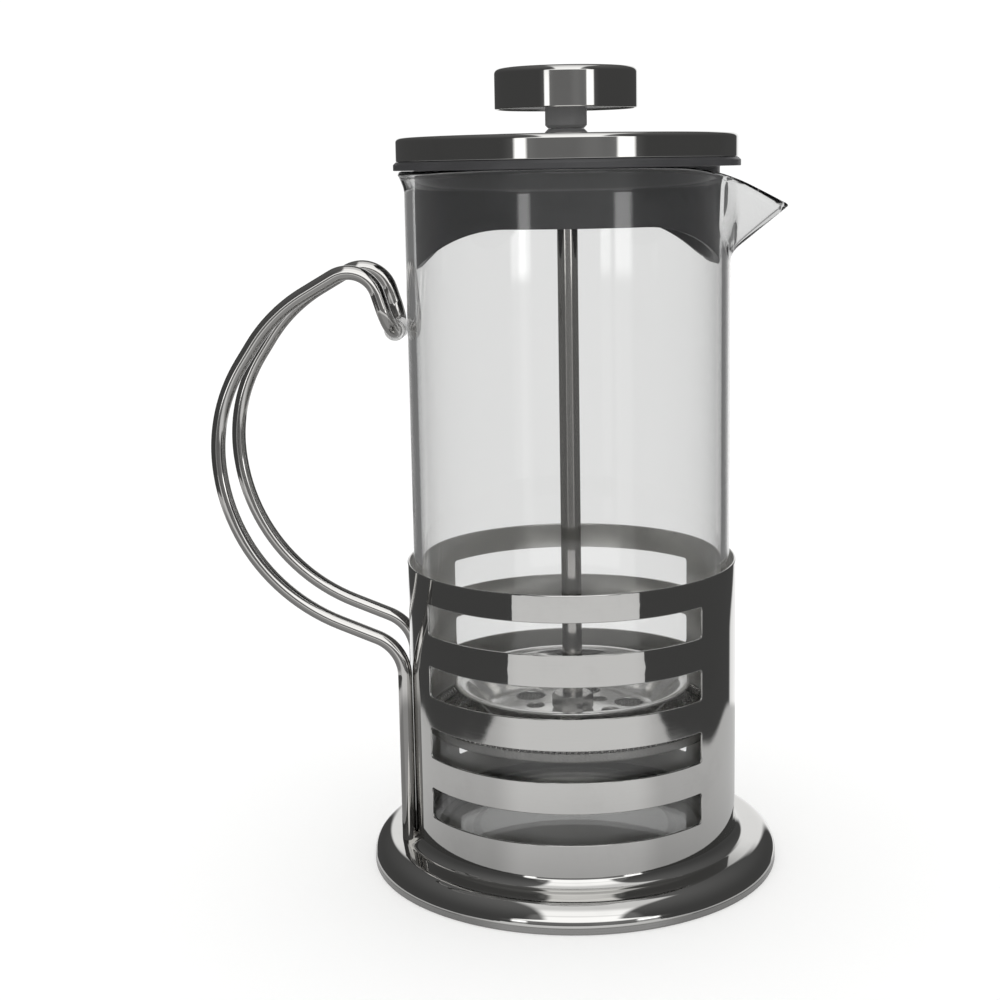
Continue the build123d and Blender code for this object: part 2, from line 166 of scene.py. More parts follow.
def ring_outline(corners: Sequence[Pair], radius: float) -> np.ndarray:
    """A closed outline with all its corners rounded alike, starting in the middle of its last side.

    Args:
        corners: Its corners, in two coordinates.
        radius: The radius of all of them.

    Returns:
        The points of the outline.
    """
    places = np.asarray(corners, float)
    start = (places[0] + places[-1]) / 2
    return rounded([start, *places, start], [radius] * len(places), 5)[:-1]


def sheet_outline(line: np.ndarray, thickness: float, start: bool = True, end: bool = True) -> np.ndarray:
    """The outline of bent sheet: the line moved half a thickness to each side, with round ends.

    Args:
        line: The middle of the sheet, in two coordinates.
        thickness: The sheet's thickness.
        start: Whether the first end is closed by a half circle.
        end: Whether the last end is closed by a half circle.

    Returns:
        The outline, closed if both ends are.
    """
    along = headings(line)
    runs = unit(np.diff(line, axis=0))
    side = np.stack([-along[:, 1], along[:, 0]], axis=-1)
    lean = np.concatenate([np.sum(along[:-1] * runs, axis=1), [1.0]])[:, None]
    out = side * thickness / 2 / lean
    turn = np.linspace(0, math.pi, 9)[1:-1, None]
    last = line[-1] + thickness / 2 * (np.cos(turn) * side[-1] + np.sin(turn) * along[-1])
    first = line[0] - thickness / 2 * (np.cos(turn) * side[0] + np.sin(turn) * along[0])
    parts = [line + out, last if end else last[:0], (line - out)[::-1], first if start else first[:0]]
    return np.concatenate(parts)


def held(outline: np.ndarray, closed: bool) -> np.ndarray:
    """An outline with a point added near both ends of each long straight run, so that its shading stays flat.

    Args:
        outline: Distances from the axis and heights.
        closed: Whether the outline's last point joins its first.

    Returns:
        The outline, with p + d u and q - d u added on each long run from p to q along u.
    """
    near, shortest = 0.05, 0.4
    following = np.roll(outline, -1, axis=0)
    run = following - outline
    length = np.linalg.norm(run, axis=1, keepdims=True)
    step = near * run / np.maximum(length, near)
    long = length[:, 0] > shortest
    long[-1] &= closed
    points = np.stack([outline, outline + step, following - step], axis=1)
    return points[np.stack([np.ones_like(long), long, long], axis=1)]


def turned(outline: np.ndarray, steps: int | np.ndarray = 240, closed: bool = True) -> Surface:
    """An outline carried round the upright axis: (r cos t, r sin t, z).

    Args:
        outline: Distances from the axis and heights.
        steps: The number of even steps round the axis, or the angles themselves.
        closed: Whether the outline's last point joins its first.

    Returns:
        The turned surface.
    """
    angle = np.arange(steps) * TURN / steps if isinstance(steps, int) else steps
    reach, height = held(outline, closed).T
    around = [np.outer(reach, np.cos(angle)), np.outer(reach, np.sin(angle))]
    points = np.stack([*around, np.outer(height, np.ones_like(angle))], axis=-1)
    return grid(points, wrap_rows=closed, wrap_columns=True)


def tube(path: np.ndarray, radius: float, side: np.ndarray, sides: int, chamfer: float) -> Surface:
    """A round section carried along a path, with flat chamfered ends.

    Each ring is path + radius * (cos(a) * side + sin(a) * up), with up square to the path and the side.

    Args:
        path: The points of the middle line.
        radius: The radius of the section.
        side: A vector at each point, not along the path.
        sides: The corners of the section.
        chamfer: The width of the chamfer at both ends.

    Returns:
        The closed tube.
    """
    along = headings(path)
    across = unit(side - np.sum(side * along, axis=1, keepdims=True) * along)
    above = np.cross(along, across)
    angle = (np.arange(sides) * TURN / sides)[None, :, None]
    ring = np.cos(angle) * across[:, None] + np.sin(angle) * above[:, None]
    wall = path[:, None] + radius * ring
    ends = [path[[end], None] + reach * ring[[end]] for end in (0, -1) for reach in (0, radius - chamfer)]
    wall[[0, -1]] += chamfer * np.stack([along[0], -along[-1]])[:, None]
    return grid(np.concatenate([*ends[:2], wall, ends[3], ends[2]]), wrap_columns=True)


def pierced(
    border: np.ndarray, hole: np.ndarray, place: Callable[[np.ndarray, float], np.ndarray], half: float
) -> Surface:
    """A cell of sheet with one opening, whose edge is rounded.

    Rows run from the cell's border on the back, in to the opening, round its edge, and out to the border on
    the front, so cells that share borders close each other.

    Args:
        border: A loop round the cell, in the two coordinates of the flat sheet.
        hole: A loop round the opening, point for point.
        place: Puts flat points at an offset from the middle of the sheet into space.
        half: Half the thickness of the sheet.

    Returns:
        The cell's back, edge and front.
    """
    way = border - hole
    edge = 0.45 * half
    bend = np.linspace(0, math.pi / 2, 4)
    inset = np.concatenate([[1.6 * edge], edge * (1 - np.sin(bend))])
    offset = np.concatenate([[-half], edge * (1 - np.cos(bend)) - half])
    shares = np.array([1.0, 0.55, 0.25])
    back = [place(hole + way * share, -half) for share in shares]
    rim = [place(hole + unit(way) * reach, depth) for reach, depth in zip(inset, offset)]
    lip = [place(hole + unit(way) * reach, -depth) for reach, depth in zip(inset[::-1], offset[::-1])]
    front = [place(hole + way * share, half) for share in shares[::-1]]
    return grid(np.stack([*back, *rim, *lip, *front]), wrap_columns=True)


# Shading


def operator(operation: str, reflected: bool = False) -> Callable[["Value", Any], "Value"]:
    """An arithmetic method of a value, which adds a Math node.

    Args:
        operation: The node's operation.
        reflected: Whether the value stands to the right of the operator.

    Returns:
        The method.
    """

    def method(value: "Value", other: Any) -> "Value":
        """The result of the operation."""
        return value.graph.math(operation, *((other, value) if reflected else (value, other)))

    return method


class Value:
    """A shader socket that takes part in Python arithmetic."""

    __add__ = __radd__ = operator("ADD")
    __mul__ = __rmul__ = operator("MULTIPLY")
    __sub__ = operator("SUBTRACT")
    __rsub__ = operator("SUBTRACT", reflected=True)
    __pow__ = operator("POWER")

    def __init__(self, graph: "Graph", socket: bpy.types.NodeSocket) -> None:
        """Wraps an output socket of a graph."""
        self.graph = graph
        self.socket = socket

    def ramp(self, low: float, high: float) -> "Value":
        """0 below low, 1 above high, and a smooth step between them."""
        settings = {"interpolation_type": "SMOOTHSTEP"}
        return self.graph.value("ShaderNodeMapRange", settings, {"Value": self, "From Min": low, "From Max": high})

    def window(self, low: float, high: float, soft: float) -> "Value":
        """1 between two values and 0 outside them, with soft borders."""
        return self.ramp(low - soft, low + soft) * (1 - self.ramp(high - soft, high + soft))

    def profile(self, start: float, steps: Iterable[Triple]) -> "Value":
        """A start to which each step adds its change between two values: start + sum(c ramp(low, high)).

        Args:
            start: The start.
            steps: The change of each step, and the two values between which it happens.

        Returns:
            The sum.
        """
        total: Any = start
        for change, low, high in steps:
            total = total + change * self.ramp(low, high)
        return total


class Graph:
    """The nodes of one material or of the world."""

    def __init__(self, tree: bpy.types.NodeTree) -> None:
        """Takes over a node tree and empties it."""
        self.tree = tree
        tree.nodes.clear()

    def node(self, kind: str, settings: dict[str, Any], inputs: dict[Any, Any]) -> bpy.types.Node:
        """Adds a node.

        Args:
            kind: The node's type.
            settings: Its properties, which are set first.
            inputs: Numbers, colours or links of its sockets, by name or place.

        Returns:
            The node.
        """
        made = self.tree.nodes.new(kind)
        for name, setting in settings.items():
            setattr(made, name, setting)
        for name, given in inputs.items():
            if isinstance(given, Value):
                self.tree.links.new(given.socket, made.inputs[name])
            else:
                made.inputs[name].default_value = given
        return made

    def value(self, kind: str, settings: dict[str, Any], inputs: dict[Any, Any], output: Any = 0) -> Value:
        """Adds a node and gives one of its outputs."""
        return Value(self, self.node(kind, settings, inputs).outputs[output])

    def math(self, operation: str, *terms: Any) -> Value:
        """Adds a Math node."""
        return self.value("ShaderNodeMath", {"operation": operation}, dict(enumerate(terms)))

    def place(self) -> Value:
        """A point's place on the piece, in metres."""
        return self.value("ShaderNodeTexCoord", {}, {}, "Object")

    def split(self, vector: Value) -> tuple[Value, Value, Value]:
        """The three coordinates of a vector."""
        parts = self.node("ShaderNodeSeparateXYZ", {}, {"Vector": vector}).outputs
        return Value(self, parts[0]), Value(self, parts[1]), Value(self, parts[2])

    def noise(self, vector: Value, scale: float, detail: float) -> Value:
        """Cloudy noise from 0 to 1."""
        inputs = {"Vector": vector, "Scale": scale, "Detail": detail, "Roughness": 0.6}
        return self.value("ShaderNodeTexNoise", {}, inputs)

    def mix(self, share: Value, first: Colour, second: Colour) -> Value:
        """A colour between two."""
        inputs = {"Factor": share, 6: (*first, 1), 7: (*second, 1)}
        return self.value("ShaderNodeMix", {"data_type": "RGBA"}, inputs, 2)

    def bump(self, height: Value, distance: float) -> Value:
        """A normal bent by a height that goes from 0 to a distance in metres."""
        return self.value("ShaderNodeBump", {}, {"Strength": 1.0, "Distance": distance, "Height": height})

    def surface(self, inputs: dict[str, Any]) -> None:
        """Ends the graph in one surface shader."""
        shader = self.value("ShaderNodeBsdfPrincipled", {}, inputs)
        self.node("ShaderNodeOutputMaterial", {}, {"Surface": shader})


class Finish:
    """A finish that makes its material once."""

    name: str

    def material(self) -> bpy.types.Material:
        """The finish's material, made at its first use.

        Returns:
            The material.
        """
        found = bpy.data.materials.get(self.name)
        if found is None:
            found = bpy.data.materials.new(self.name)
            found.use_nodes = True
            self.paint(Graph(found.node_tree))
        return found

    def paint(self, graph: Graph) -> None:
        """Adds the finish's nodes."""
        raise NotImplementedError


@dataclass(frozen=True)
class Steel(Finish):
    """Steel with hairlines round the axis and faint smudges.

    Args:
        name: The material's name.
        colour: Its reflectance.
        roughness: Its roughness where it is clean.
        hairline: The roughness that hairlines add.
        smudge: The roughness that smudges add.
        fineness: Hairlines per metre, across them.
        depth: The depth of the hairlines in metres.
        metal: How much of the light it mirrors; the rest it scatters, as blasted steel does.
        stretch: Hairlines per radian, along them.
        smudges: Smudges per metre, and the noise between which they start and are full.
        dulled: The share of its colour that dull places keep.
        shares: How much smudges and hairlines dull it.
        rough: The noise between which hairlines start to be rough and are fully so.
    """

    name: str
    colour: Colour
    roughness: float
    hairline: float
    smudge: float
    fineness: float
    depth: float
    metal: float = 1.0
    stretch: float = 5.0
    smudges: Triple = (55.0, 0.48, 0.78)
    dulled: float = 0.9
    shares: Pair = (0.6, 0.4)
    rough: Pair = (0.45, 0.8)

    def paint(self, graph: Graph) -> None:
        """Hairlines are noise drawn out round the axis, smudges are cloudy noise.

        Args:
            graph: The nodes of the material.
        """
        x, y, z = graph.split(graph.place())
        turn = graph.math("ARCTAN2", y, x)
        reach = (x * x + y * y) ** 0.5
        drawn = {"X": turn * self.stretch, "Y": z * self.fineness, "Z": reach * self.fineness}
        lines = graph.noise(graph.value("ShaderNodeCombineXYZ", {}, drawn), 1.0, detail=3.0)
        scale, low, high = self.smudges
        clouds = graph.noise(graph.place(), scale, detail=5.0).ramp(low, high)
        dull = tuple(self.dulled * part for part in self.colour)
        smudged, lined = self.shares
        graph.surface(
            {
                "Base Color": graph.mix(clouds * smudged + lines * lined, self.colour, dull),
                "Metallic": self.metal,
                "Roughness": self.roughness + self.hairline * lines.ramp(*self.rough) + self.smudge * clouds,
                "Normal": graph.bump(lines, self.depth),
            }
        )


@dataclass(frozen=True)
class Plastic(Finish):
    """Moulded plastic with a fine spark-eroded grain.

    Args:
        name: The material's name.
        colour: Its colour.
        roughness: Its roughness where it is smooth.
        grain: Grains per metre.
        depth: The depth of the grain in metres.
        marks: Handling marks per metre, and the noise between which they start and are full.
        worn: The share of its colour that worn places show.
        shares: How much marks and grain wear it.
        rough: The roughness that marks and grain add.
    """

    name: str
    colour: Colour
    roughness: float
    grain: float
    depth: float = 1.5e-5
    marks: Triple = (70.0, 0.45, 0.75)
    worn: float = 1.5
    shares: Pair = (0.5, 0.3)
    rough: Pair = (0.12, 0.08)

    def paint(self, graph: Graph) -> None:
        """Grain is fine noise, handling marks are cloudy noise.

        Args:
            graph: The nodes of the material.
        """
        grains = graph.noise(graph.place(), self.grain, detail=2.0)
        scale, low, high = self.marks
        marks = graph.noise(graph.place(), scale, detail=4.0).ramp(low, high)
        worn = tuple(self.worn * part for part in self.colour)
        (marked, grained), (mark_rough, grain_rough) = self.shares, self.rough
        graph.surface(
            {
                "Base Color": graph.mix(marks * marked + grains * grained, self.colour, worn),
                "Roughness": self.roughness + mark_rough * marks + grain_rough * grains,
                "Normal": graph.bump(grains, self.depth),
            }
        )


@dataclass(frozen=True)
class Clear(Finish):
    """Glass or clear rubber, a little cloudy where it was handled.

    Args:
        name: The material's name.
        colour: The colour that it lets through.
        index: Its refractive index.
        roughness: Its roughness where it is clean.
        haze: The roughness that marks add.
        marks: Handling marks per metre, and the noise between which they start and are full.
        waves: Waves of the surface per metre, and their depth in metres.
        tint: The share of light that marks let through.
    """

    name: str
    colour: Colour
    index: float
    roughness: float
    haze: float
    marks: Triple = (80.0, 0.55, 0.85)
    waves: Pair = (30.0, 4e-5)
    tint: float = 0.985

    def paint(self, graph: Graph) -> None:
        """Marks are cloudy noise, and long waves in the surface are a faint bump.

        Args:
            graph: The nodes of the material.
        """
        scale, low, high = self.marks
        marks = graph.noise(graph.place(), scale, detail=5.0).ramp(low, high)
        length, depth = self.waves
        waves = graph.noise(graph.place(), length, detail=1.0)
        tinted = tuple(self.tint * part for part in self.colour)
        graph.surface(
            {
                "Base Color": graph.mix(marks, self.colour, tinted),
                "Roughness": self.roughness + self.haze * marks,
                "IOR": self.index,
                "Transmission Weight": 1.0,
                "Normal": graph.bump(waves, depth),
            }
        )


@dataclass(frozen=True)
class Paper(Finish):
    """The pale matt sheet that the press stands on.

    Args:
        name: The material's name.
        colour: Its colour.
        fineness: Fibres per metre.
        shade: The share of its colour that fibres keep.
        rough: Its roughness, and what fibres add.
        gloss: Its specular level.
    """

    name: str
    colour: Colour
    fineness: float = 900.0
    shade: float = 0.98
    rough: Pair = (0.85, 0.1)
    gloss: float = 0.1

    def paint(self, graph: Graph) -> None:
        """Fibres are fine noise.

        Args:
            graph: The nodes of the material.
        """
        fibres = graph.noise(graph.place(), self.fineness, detail=4.0)
        shade = tuple(self.shade * part for part in self.colour)
        graph.surface(
            {
                "Base Color": graph.mix(fibres, self.colour, shade),
                "Roughness": self.rough[0] + self.rough[1] * fibres,
                "Specular IOR Level": self.gloss,
            }
        )


POLISHED = Steel("mirror_steel", (0.63, 0.625, 0.61), 0.025, 0.03, 0.03, 9000.0, 4e-7)
SATIN = Steel("satin_tube_steel", (0.8, 0.79, 0.765), 0.14, 0.06, 0.06, 4000.0, 5e-7, 0.5)
# the hem's steel: rougher than the polished steel, and darker in colour as painted shade of the table's contact
# shadow
HEM_SHADED = Steel("rolled_hem_steel_painted_shade", (0.56, 0.555, 0.545), 0.1, 0.06, 0.05, 5000.0, 1e-6)
PRESSED = Steel("pressed_steel", (0.31, 0.307, 0.301), 0.34, 0.06, 0.05, 5000.0, 4e-7)
STAMPED = Steel("stamped_dish_steel", (0.86, 0.855, 0.84), 0.1, 0.05, 0.05, 5000.0, 3e-7, 0.8)
FASTENER = Steel("fastener_steel", (0.4, 0.395, 0.385), 0.2, 0.06, 0.05, 5000.0, 8e-7)
DRAWN = Steel("drawn_wire_steel", (0.62, 0.61, 0.595), 0.06, 0.03, 0.04, 3000.0, 2e-7)
GROUND = Steel("ground_rod_steel", (0.44, 0.43, 0.415), 0.06, 0.06, 0.04, 9000.0, 8e-7)
WOVEN = Steel("woven_wire_steel", (0.32, 0.315, 0.305), 0.34, 0.1, 0.06, 3000.0, 2e-6, 0.8)
BRASS = Steel("turned_brass", (0.72, 0.52, 0.24), 0.2, 0.15, 0.05, 6000.0, 3e-6)
BLACK = Plastic("black_moulding", (0.038, 0.038, 0.04), 0.32, 2600.0)
GREY = Plastic("dark_grey_moulding", (0.22, 0.22, 0.222), 0.38, 2600.0)
GLASS = Clear("beaker_glass", (0.985, 0.987, 0.984), 1.47, 0.0, 0.015)
SILICONE = Clear("bumper_silicone", (0.93, 0.93, 0.92), 1.41, 0.22, 0.1)
PAPER = Paper("pale_sheet", (0.96, 0.96, 0.955))


def make(
    name: str, surface: Surface, finish: Finish, body: Body, slot: Slot, nodes: Sequence[str], crease: float = 38.0
) -> bpy.types.Object:
    """Makes a piece of the press from a surface.

    Args:
        name: The piece's name.
        surface: Its points and faces.
        finish: Its finish.
        body: The body that it rides on.
        slot: The material slot meant for its finish; not used.
        nodes: The nodes that it stands for.
        crease: The turn in degrees from which an edge is sharp.

    Returns:
        The piece.
    """
    piece = shape(name, surface, finish, crease)
    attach(piece, body.value)
    if nodes:
        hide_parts(*nodes)
    log.info("%s: %d faces on %s", name, len(piece.data.polygons), body.value)
    return piece


def shape(name: str, surface: Surface, finish: Finish, crease: float) -> bpy.types.Object:
    """Puts a surface into a mesh object, with merged seams and outward faces.

    Args:
        name: The object's name.
        surface: Its points and faces.
        finish: Its finish.
        crease: The turn in degrees from which an edge is sharp.

    Returns:
        The object.
    """
    mesh = bpy.data.meshes.new(name)
    mesh.from_pydata((surface.points * MM).tolist(), [], surface.faces.tolist())
    work = bmesh.new()
    work.from_mesh(mesh)
    bmesh.ops.remove_doubles(work, verts=work.verts, dist=MERGE)
    bmesh.ops.recalc_face_normals(work, faces=work.faces)
    work.to_mesh(mesh)
    work.free()
    mesh.shade_smooth()
    mesh.set_sharp_from_angle(angle=math.radians(crease))
    mesh.materials.append(finish.material())
    piece = bpy.data.objects.new(name, mesh)
    bpy.context.scene.collection.objects.link(piece)
    return piece


def repaint(piece: bpy.types.Object, finish: Finish, choose: Callable[[np.ndarray, np.ndarray], np.ndarray]) -> None:
    """Gives a piece a second finish.

    Args:
        piece: The piece.
        finish: The second finish.
        choose: Picks the faces that get it, by their middles in metres and their normals.
    """
    mesh = piece.data
    mesh.materials.append(finish.material())
    middles, normals = np.empty((2, len(mesh.polygons), 3))
    mesh.polygons.foreach_get("center", middles.ravel())
    mesh.polygons.foreach_get("normal", normals.ravel())
    mesh.polygons.foreach_set("material_index", choose(middles, normals).astype(np.int32))


def dress(node: str, finish: Finish) -> None:
    """Gives a node that keeps its own shape its finish.

    Args:
        node: The node's name.
        finish: The finish.
    """
    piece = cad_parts[node]
    for slot in piece.material_slots:
        slot.material = finish.material()
    log.info("%s: kept, %s", node, finish.name)


# The press


@dataclass(frozen=True)
class Foot:
    """The spun foot and the pan inside it. Sizes are in millimetres.

    Args:
        sheet: The thickness of the steel.
        neck: The radius of the sheet's middle at the neck.
        spread: How far the neck widens on its way down.
        brow: The radius of the sheet's middle at the hem.
        top: The height of the neck.
        shoulder: The heights at which the two bends have their corners.
        bends: The radii of the two bends.
        hem: The hem's width and its height.
        hem_bends: The radii of the hem's corners.
        groove: The depth and the width of the groove above the hem.
        pan: The pan's radius, the height of its middle, and its rim's height.
        pan_bend: The radius of the bend at the pan's rim.
        rings: The radii of the grooves in the pan.
        ring: Half the width of such a groove, and its depth.
        ring_bends: The radii of its bends.
    """

    sheet: float = 0.5
    neck: float = 40.5
    spread: float = 0.4
    brow: float = 50.65
    top: float = 9.5
    shoulder: Pair = (7.0, 6.25)
    bends: Pair = (3.1, 4.838)
    hem: Pair = (1.2, 1.6)
    hem_bends: Triple = (0.35, 0.35, 0.5)
    groove: Pair = (0.08, 0.1)
    pan: Triple = (39.95, 6.35, 9.6)
    pan_bend: float = 0.8
    rings: Pair = (26.0, 33.5)
    ring: Pair = (2.0, 1.0)
    ring_bends: Triple = (1.6, 0.8, 1.6)

    def build(self) -> None:
        """Makes the foot and the pan. The foot's rolled hem is rougher, and its darker colour is painted shade of
        the contact shadow at the table.
        """
        width, height = self.hem
        half = self.sheet / 2
        cove, shoulder = self.shoulder
        line = [(self.neck, self.top), (self.neck + self.spread, cove), (self.brow, shoulder), (self.brow, height)]
        skin = sheet_outline(rounded(line, self.bends, 20), self.sheet, start=False, end=False)
        outside, inside = np.split(skin, 2)
        outer = self.brow + half
        deep, wide = self.groove
        groove = [(outer, height + wide), (outer - deep, height + wide / 2), (outer, height)]
        bead = [(outer, height), (outer, 0.0), (outer - width, 0.0), (outer - width, height)]
        hem = rounded([*bead, (self.brow - half, height)], self.hem_bends, 6)
        outline = np.concatenate([outside[:-1], groove, hem[1:-1], inside])
        piece = make("foot_skin", turned(outline, 320), POLISHED, Body.FRAME, Slot.POLISHED, ["base_foot"])
        # the hem below this height takes the darker steel: painted shade of the contact shadow at the table
        repaint(piece, HEM_SHADED, lambda middles, normals: middles[:, 2] < height * MM)
        self.build_pan()

    def build_pan(self) -> None:
        """Makes the pan with its grooves."""
        radius, middle, rim = self.pan
        half, deep = self.ring
        line = [(0.0, middle)]
        for ring in self.rings:
            line += [(ring - half, middle), (ring, middle - deep), (ring + half, middle)]
        bends = [*self.ring_bends * len(self.rings), self.pan_bend]
        dish = rounded([*line, (radius, middle), (radius, rim)], bends)
        floor = turned(sheet_outline(dish, self.sheet, start=False), 240, closed=False)
        make("foot_pan", floor, PRESSED, Body.FRAME, Slot.POLISHED, ["base_pan"])


@dataclass(frozen=True)
class Cage:
    """The slotted sleeve. Sizes are in millimetres and degrees.

    Args:
        radius: The radius of the sheet's middle.
        sheet: The thickness of the steel.
        bottom: The height of its lower edge.
        top: The height of its upper edge.
        rows: The rows of slots.
        first: The height of the lowest slot's lower edge.
        slot: The height of a slot.
        land: The height between two slots.
        middle: The angle of the slots' middle, front and back.
        span: The angle that a slot covers.
        corner: The radius of a slot's corners.
        margin: The angle from a slot to the border of its cell.
    """

    radius: float = 40.5
    sheet: float = 0.5
    bottom: float = 9.5
    top: float = 77.2
    rows: int = 4
    first: float = 17.4
    slot: float = 7.6
    land: float = 7.6333333
    middle: float = 92.5
    span: float = 106.0
    corner: float = 0.9
    margin: float = 3.0

    def place(self, flat: np.ndarray, offset: float) -> np.ndarray:
        """Rolls flat points up: u is the way round at the middle radius, v the height.

        Args:
            flat: Points of the flat sheet.
            offset: How far outside the sheet's middle they go.

        Returns:
            The points in space.
        """
        angle = flat[..., 0] / self.radius
        reach = self.radius + offset
        return np.stack([reach * np.cos(angle), reach * np.sin(angle), flat[..., 1]], axis=-1)

    def cell(self, start: float, row: int, across: int, up: int) -> Surface:
        """One slot and the sheet round it.

        Both loops go round in step: along the lower edge, up one end, back along the upper edge and down the
        other end. The slot's ends are a quarter circle, a straight run and a quarter circle.

        Args:
            start: The angle at which the cell starts.
            row: The slot's row.
            across: The steps along the slot.
            up: The steps up its ends.

        Returns:
            The cell.
        """
        low = self.first + row * (self.slot + self.land)
        high = low + self.slot
        wide = math.radians(self.span + 2 * self.margin) * self.radius
        left = math.radians(start) * self.radius
        edge = math.radians(self.margin) * self.radius
        share = np.linspace(0, 1, across + 1)[:-1]
        climb = np.linspace(0, 1, up + 1)[:-1]
        turn = math.pi / 2 * (np.clip(3 * climb, 0, 1) + np.clip(3 * climb - 2, 0, 1) - 1)
        rise = self.corner + np.clip(3 * climb - 1, 0, 1) * (self.slot - 2 * self.corner)
        bulge = self.corner * (1 - np.cos(turn))
        climbs = rise + self.corner * np.sin(turn)
        floor, ceiling = low - self.land / 2, high + self.land / 2
        run = edge + self.corner + share * (wide - 2 * edge - 2 * self.corner)
        ends = np.ones_like(climb)
        hole_u = [run, wide - edge - bulge, wide - run, edge + bulge]
        hole_v = [low + 0 * run, low + climbs, high + 0 * run, high - climbs]
        border_u = [share * wide, wide * ends, wide - share * wide, 0 * ends]
        border_v = [floor + 0 * share, floor + climb * (ceiling - floor), ceiling + 0 * share]
        border_v.append(ceiling - climb * (ceiling - floor))
        hole = np.stack([left + np.concatenate(hole_u), np.concatenate(hole_v)], axis=-1)
        border = np.stack([left + np.concatenate(border_u), np.concatenate(border_v)], axis=-1)
        return pierced(border, hole, self.place, self.sheet / 2)

    def build(self) -> None:
        """Makes the sleeve: cells with slots, plain sheet at both sides of them, and a band above and below."""
        across, up, half = 132, 24, self.sheet / 2
        plain_steps = (84, 72)
        wide = self.span + 2 * self.margin
        starts = [-self.middle - wide / 2, self.middle - wide / 2]
        turns = [*starts, starts[0] + 360]
        cells = [self.cell(start, row, across, up) for start in starts for row in range(self.rows)]
        pitch = self.slot + self.land
        floor = self.first - self.land / 2
        heights = np.linspace(floor, floor + self.rows * pitch, self.rows * up + 1)
        angles: list[np.ndarray] = []
        for start, following, steps in zip(turns, turns[1:], plain_steps):
            plain = np.radians(np.linspace(start + wide, following, steps + 1))
            flat = np.stack(np.meshgrid(plain * self.radius, heights), axis=-1)
            cells += [grid(self.place(flat, offset)) for offset in (-half, half)]
            angles += [np.radians(np.linspace(start, start + wide, across + 1)[:-1]), plain[:-1]]
        for inner, outer, rolled in ((heights[0], self.bottom, False), (heights[-1], self.top - half, True)):
            line = np.stack([np.full(4, self.radius), np.linspace(inner, outer, 4)], axis=-1)
            outline = sheet_outline(line, self.sheet, start=False, end=rolled)
            cells.append(turned(outline, np.concatenate(angles), closed=False))
        piece = make("slotted_sleeve", joined(cells), POLISHED, Body.FRAME, Slot.POLISHED, ["cage_sleeve"])
        repaint(piece, SATIN, self.inside)

    def inside(self, middles: np.ndarray, normals: np.ndarray) -> np.ndarray:
        """Which faces look at the axis, and so have the dull finish of unpolished tube.

        Args:
            middles: The middles of the faces in metres.
            normals: Their normals.

        Returns:
            Whether each face does.
        """
        inwards = -0.6
        return np.sum(middles[:, :2] * normals[:, :2], axis=1) < inwards * self.radius * MM


@dataclass(frozen=True)
class Handle:
    """The wire handle, bent double, and the bumper on its cross run. Sizes are in millimetres.

    Args:
        wire: The wire's diameter.
        spread: Half the distance between the two legs.
        route: Corners of one leg, from its foot up to the cross run: distance from the axis and height.
        bends: The radius at each corner after the first.
        sleeve: The bumper's outer radius and its length.
    """

    wire: float = 3.5
    spread: float = 11.25
    route: tuple[Pair, ...] = (
        (41.036, 6.9),
        (41.036, 56.6),
        (81.936, 73.2),
        (86.536, 115.2),
        (70.736, 139.3),
        (47.836, 152.5),
        (42.1, 134.4),
    )
    bends: tuple[float, ...] = (10.5, 46.0, 40.0, 38.8, 7.4, 6.0)
    sleeve: Pair = (2.6, 9.0)

    def build(self) -> None:
        """Makes the wire as one tube, and the bumper."""
        leg = [(-out, self.spread, height) for out, height in self.route]
        other = [(x, -y, z) for x, y, z in reversed(leg)]
        path = rounded(leg + other, self.bends + self.bends[::-1], 22)
        along = headings(path)
        square = np.cross(along, (0.0, 1.0, 0.0)) * np.sign(path[:, 1:2] + 1e-9)
        hook = np.subtract(leg[-1], leg[-2])
        across = np.where(np.linalg.norm(square, axis=1, keepdims=True) > 1e-4, square, np.cross(hook, (0, 1, 0)))
        wire = tube(path, self.wire / 2, unit(across), sides=28, chamfer=0.25)
        make("handle_loop", wire, DRAWN, Body.FRAME, Slot.WIRE, ["handle_wire"], crease=50.0)
        outer, length = self.sleeve
        inner, half = self.wire / 2 + FIT, length / 2
        ring = turned(ring_outline([(inner, -half), (outer, -half), (outer, half), (inner, half)], 0.3), 64)
        x, y, z = ring.points.T
        reach, height = self.route[-1]
        lying = np.stack([x - reach, z, height - y], axis=-1)
        make("bumper_sleeve", Surface(lying, ring.faces), SILICONE, Body.FRAME, Slot.SILICONE, ["handle_bumper"])


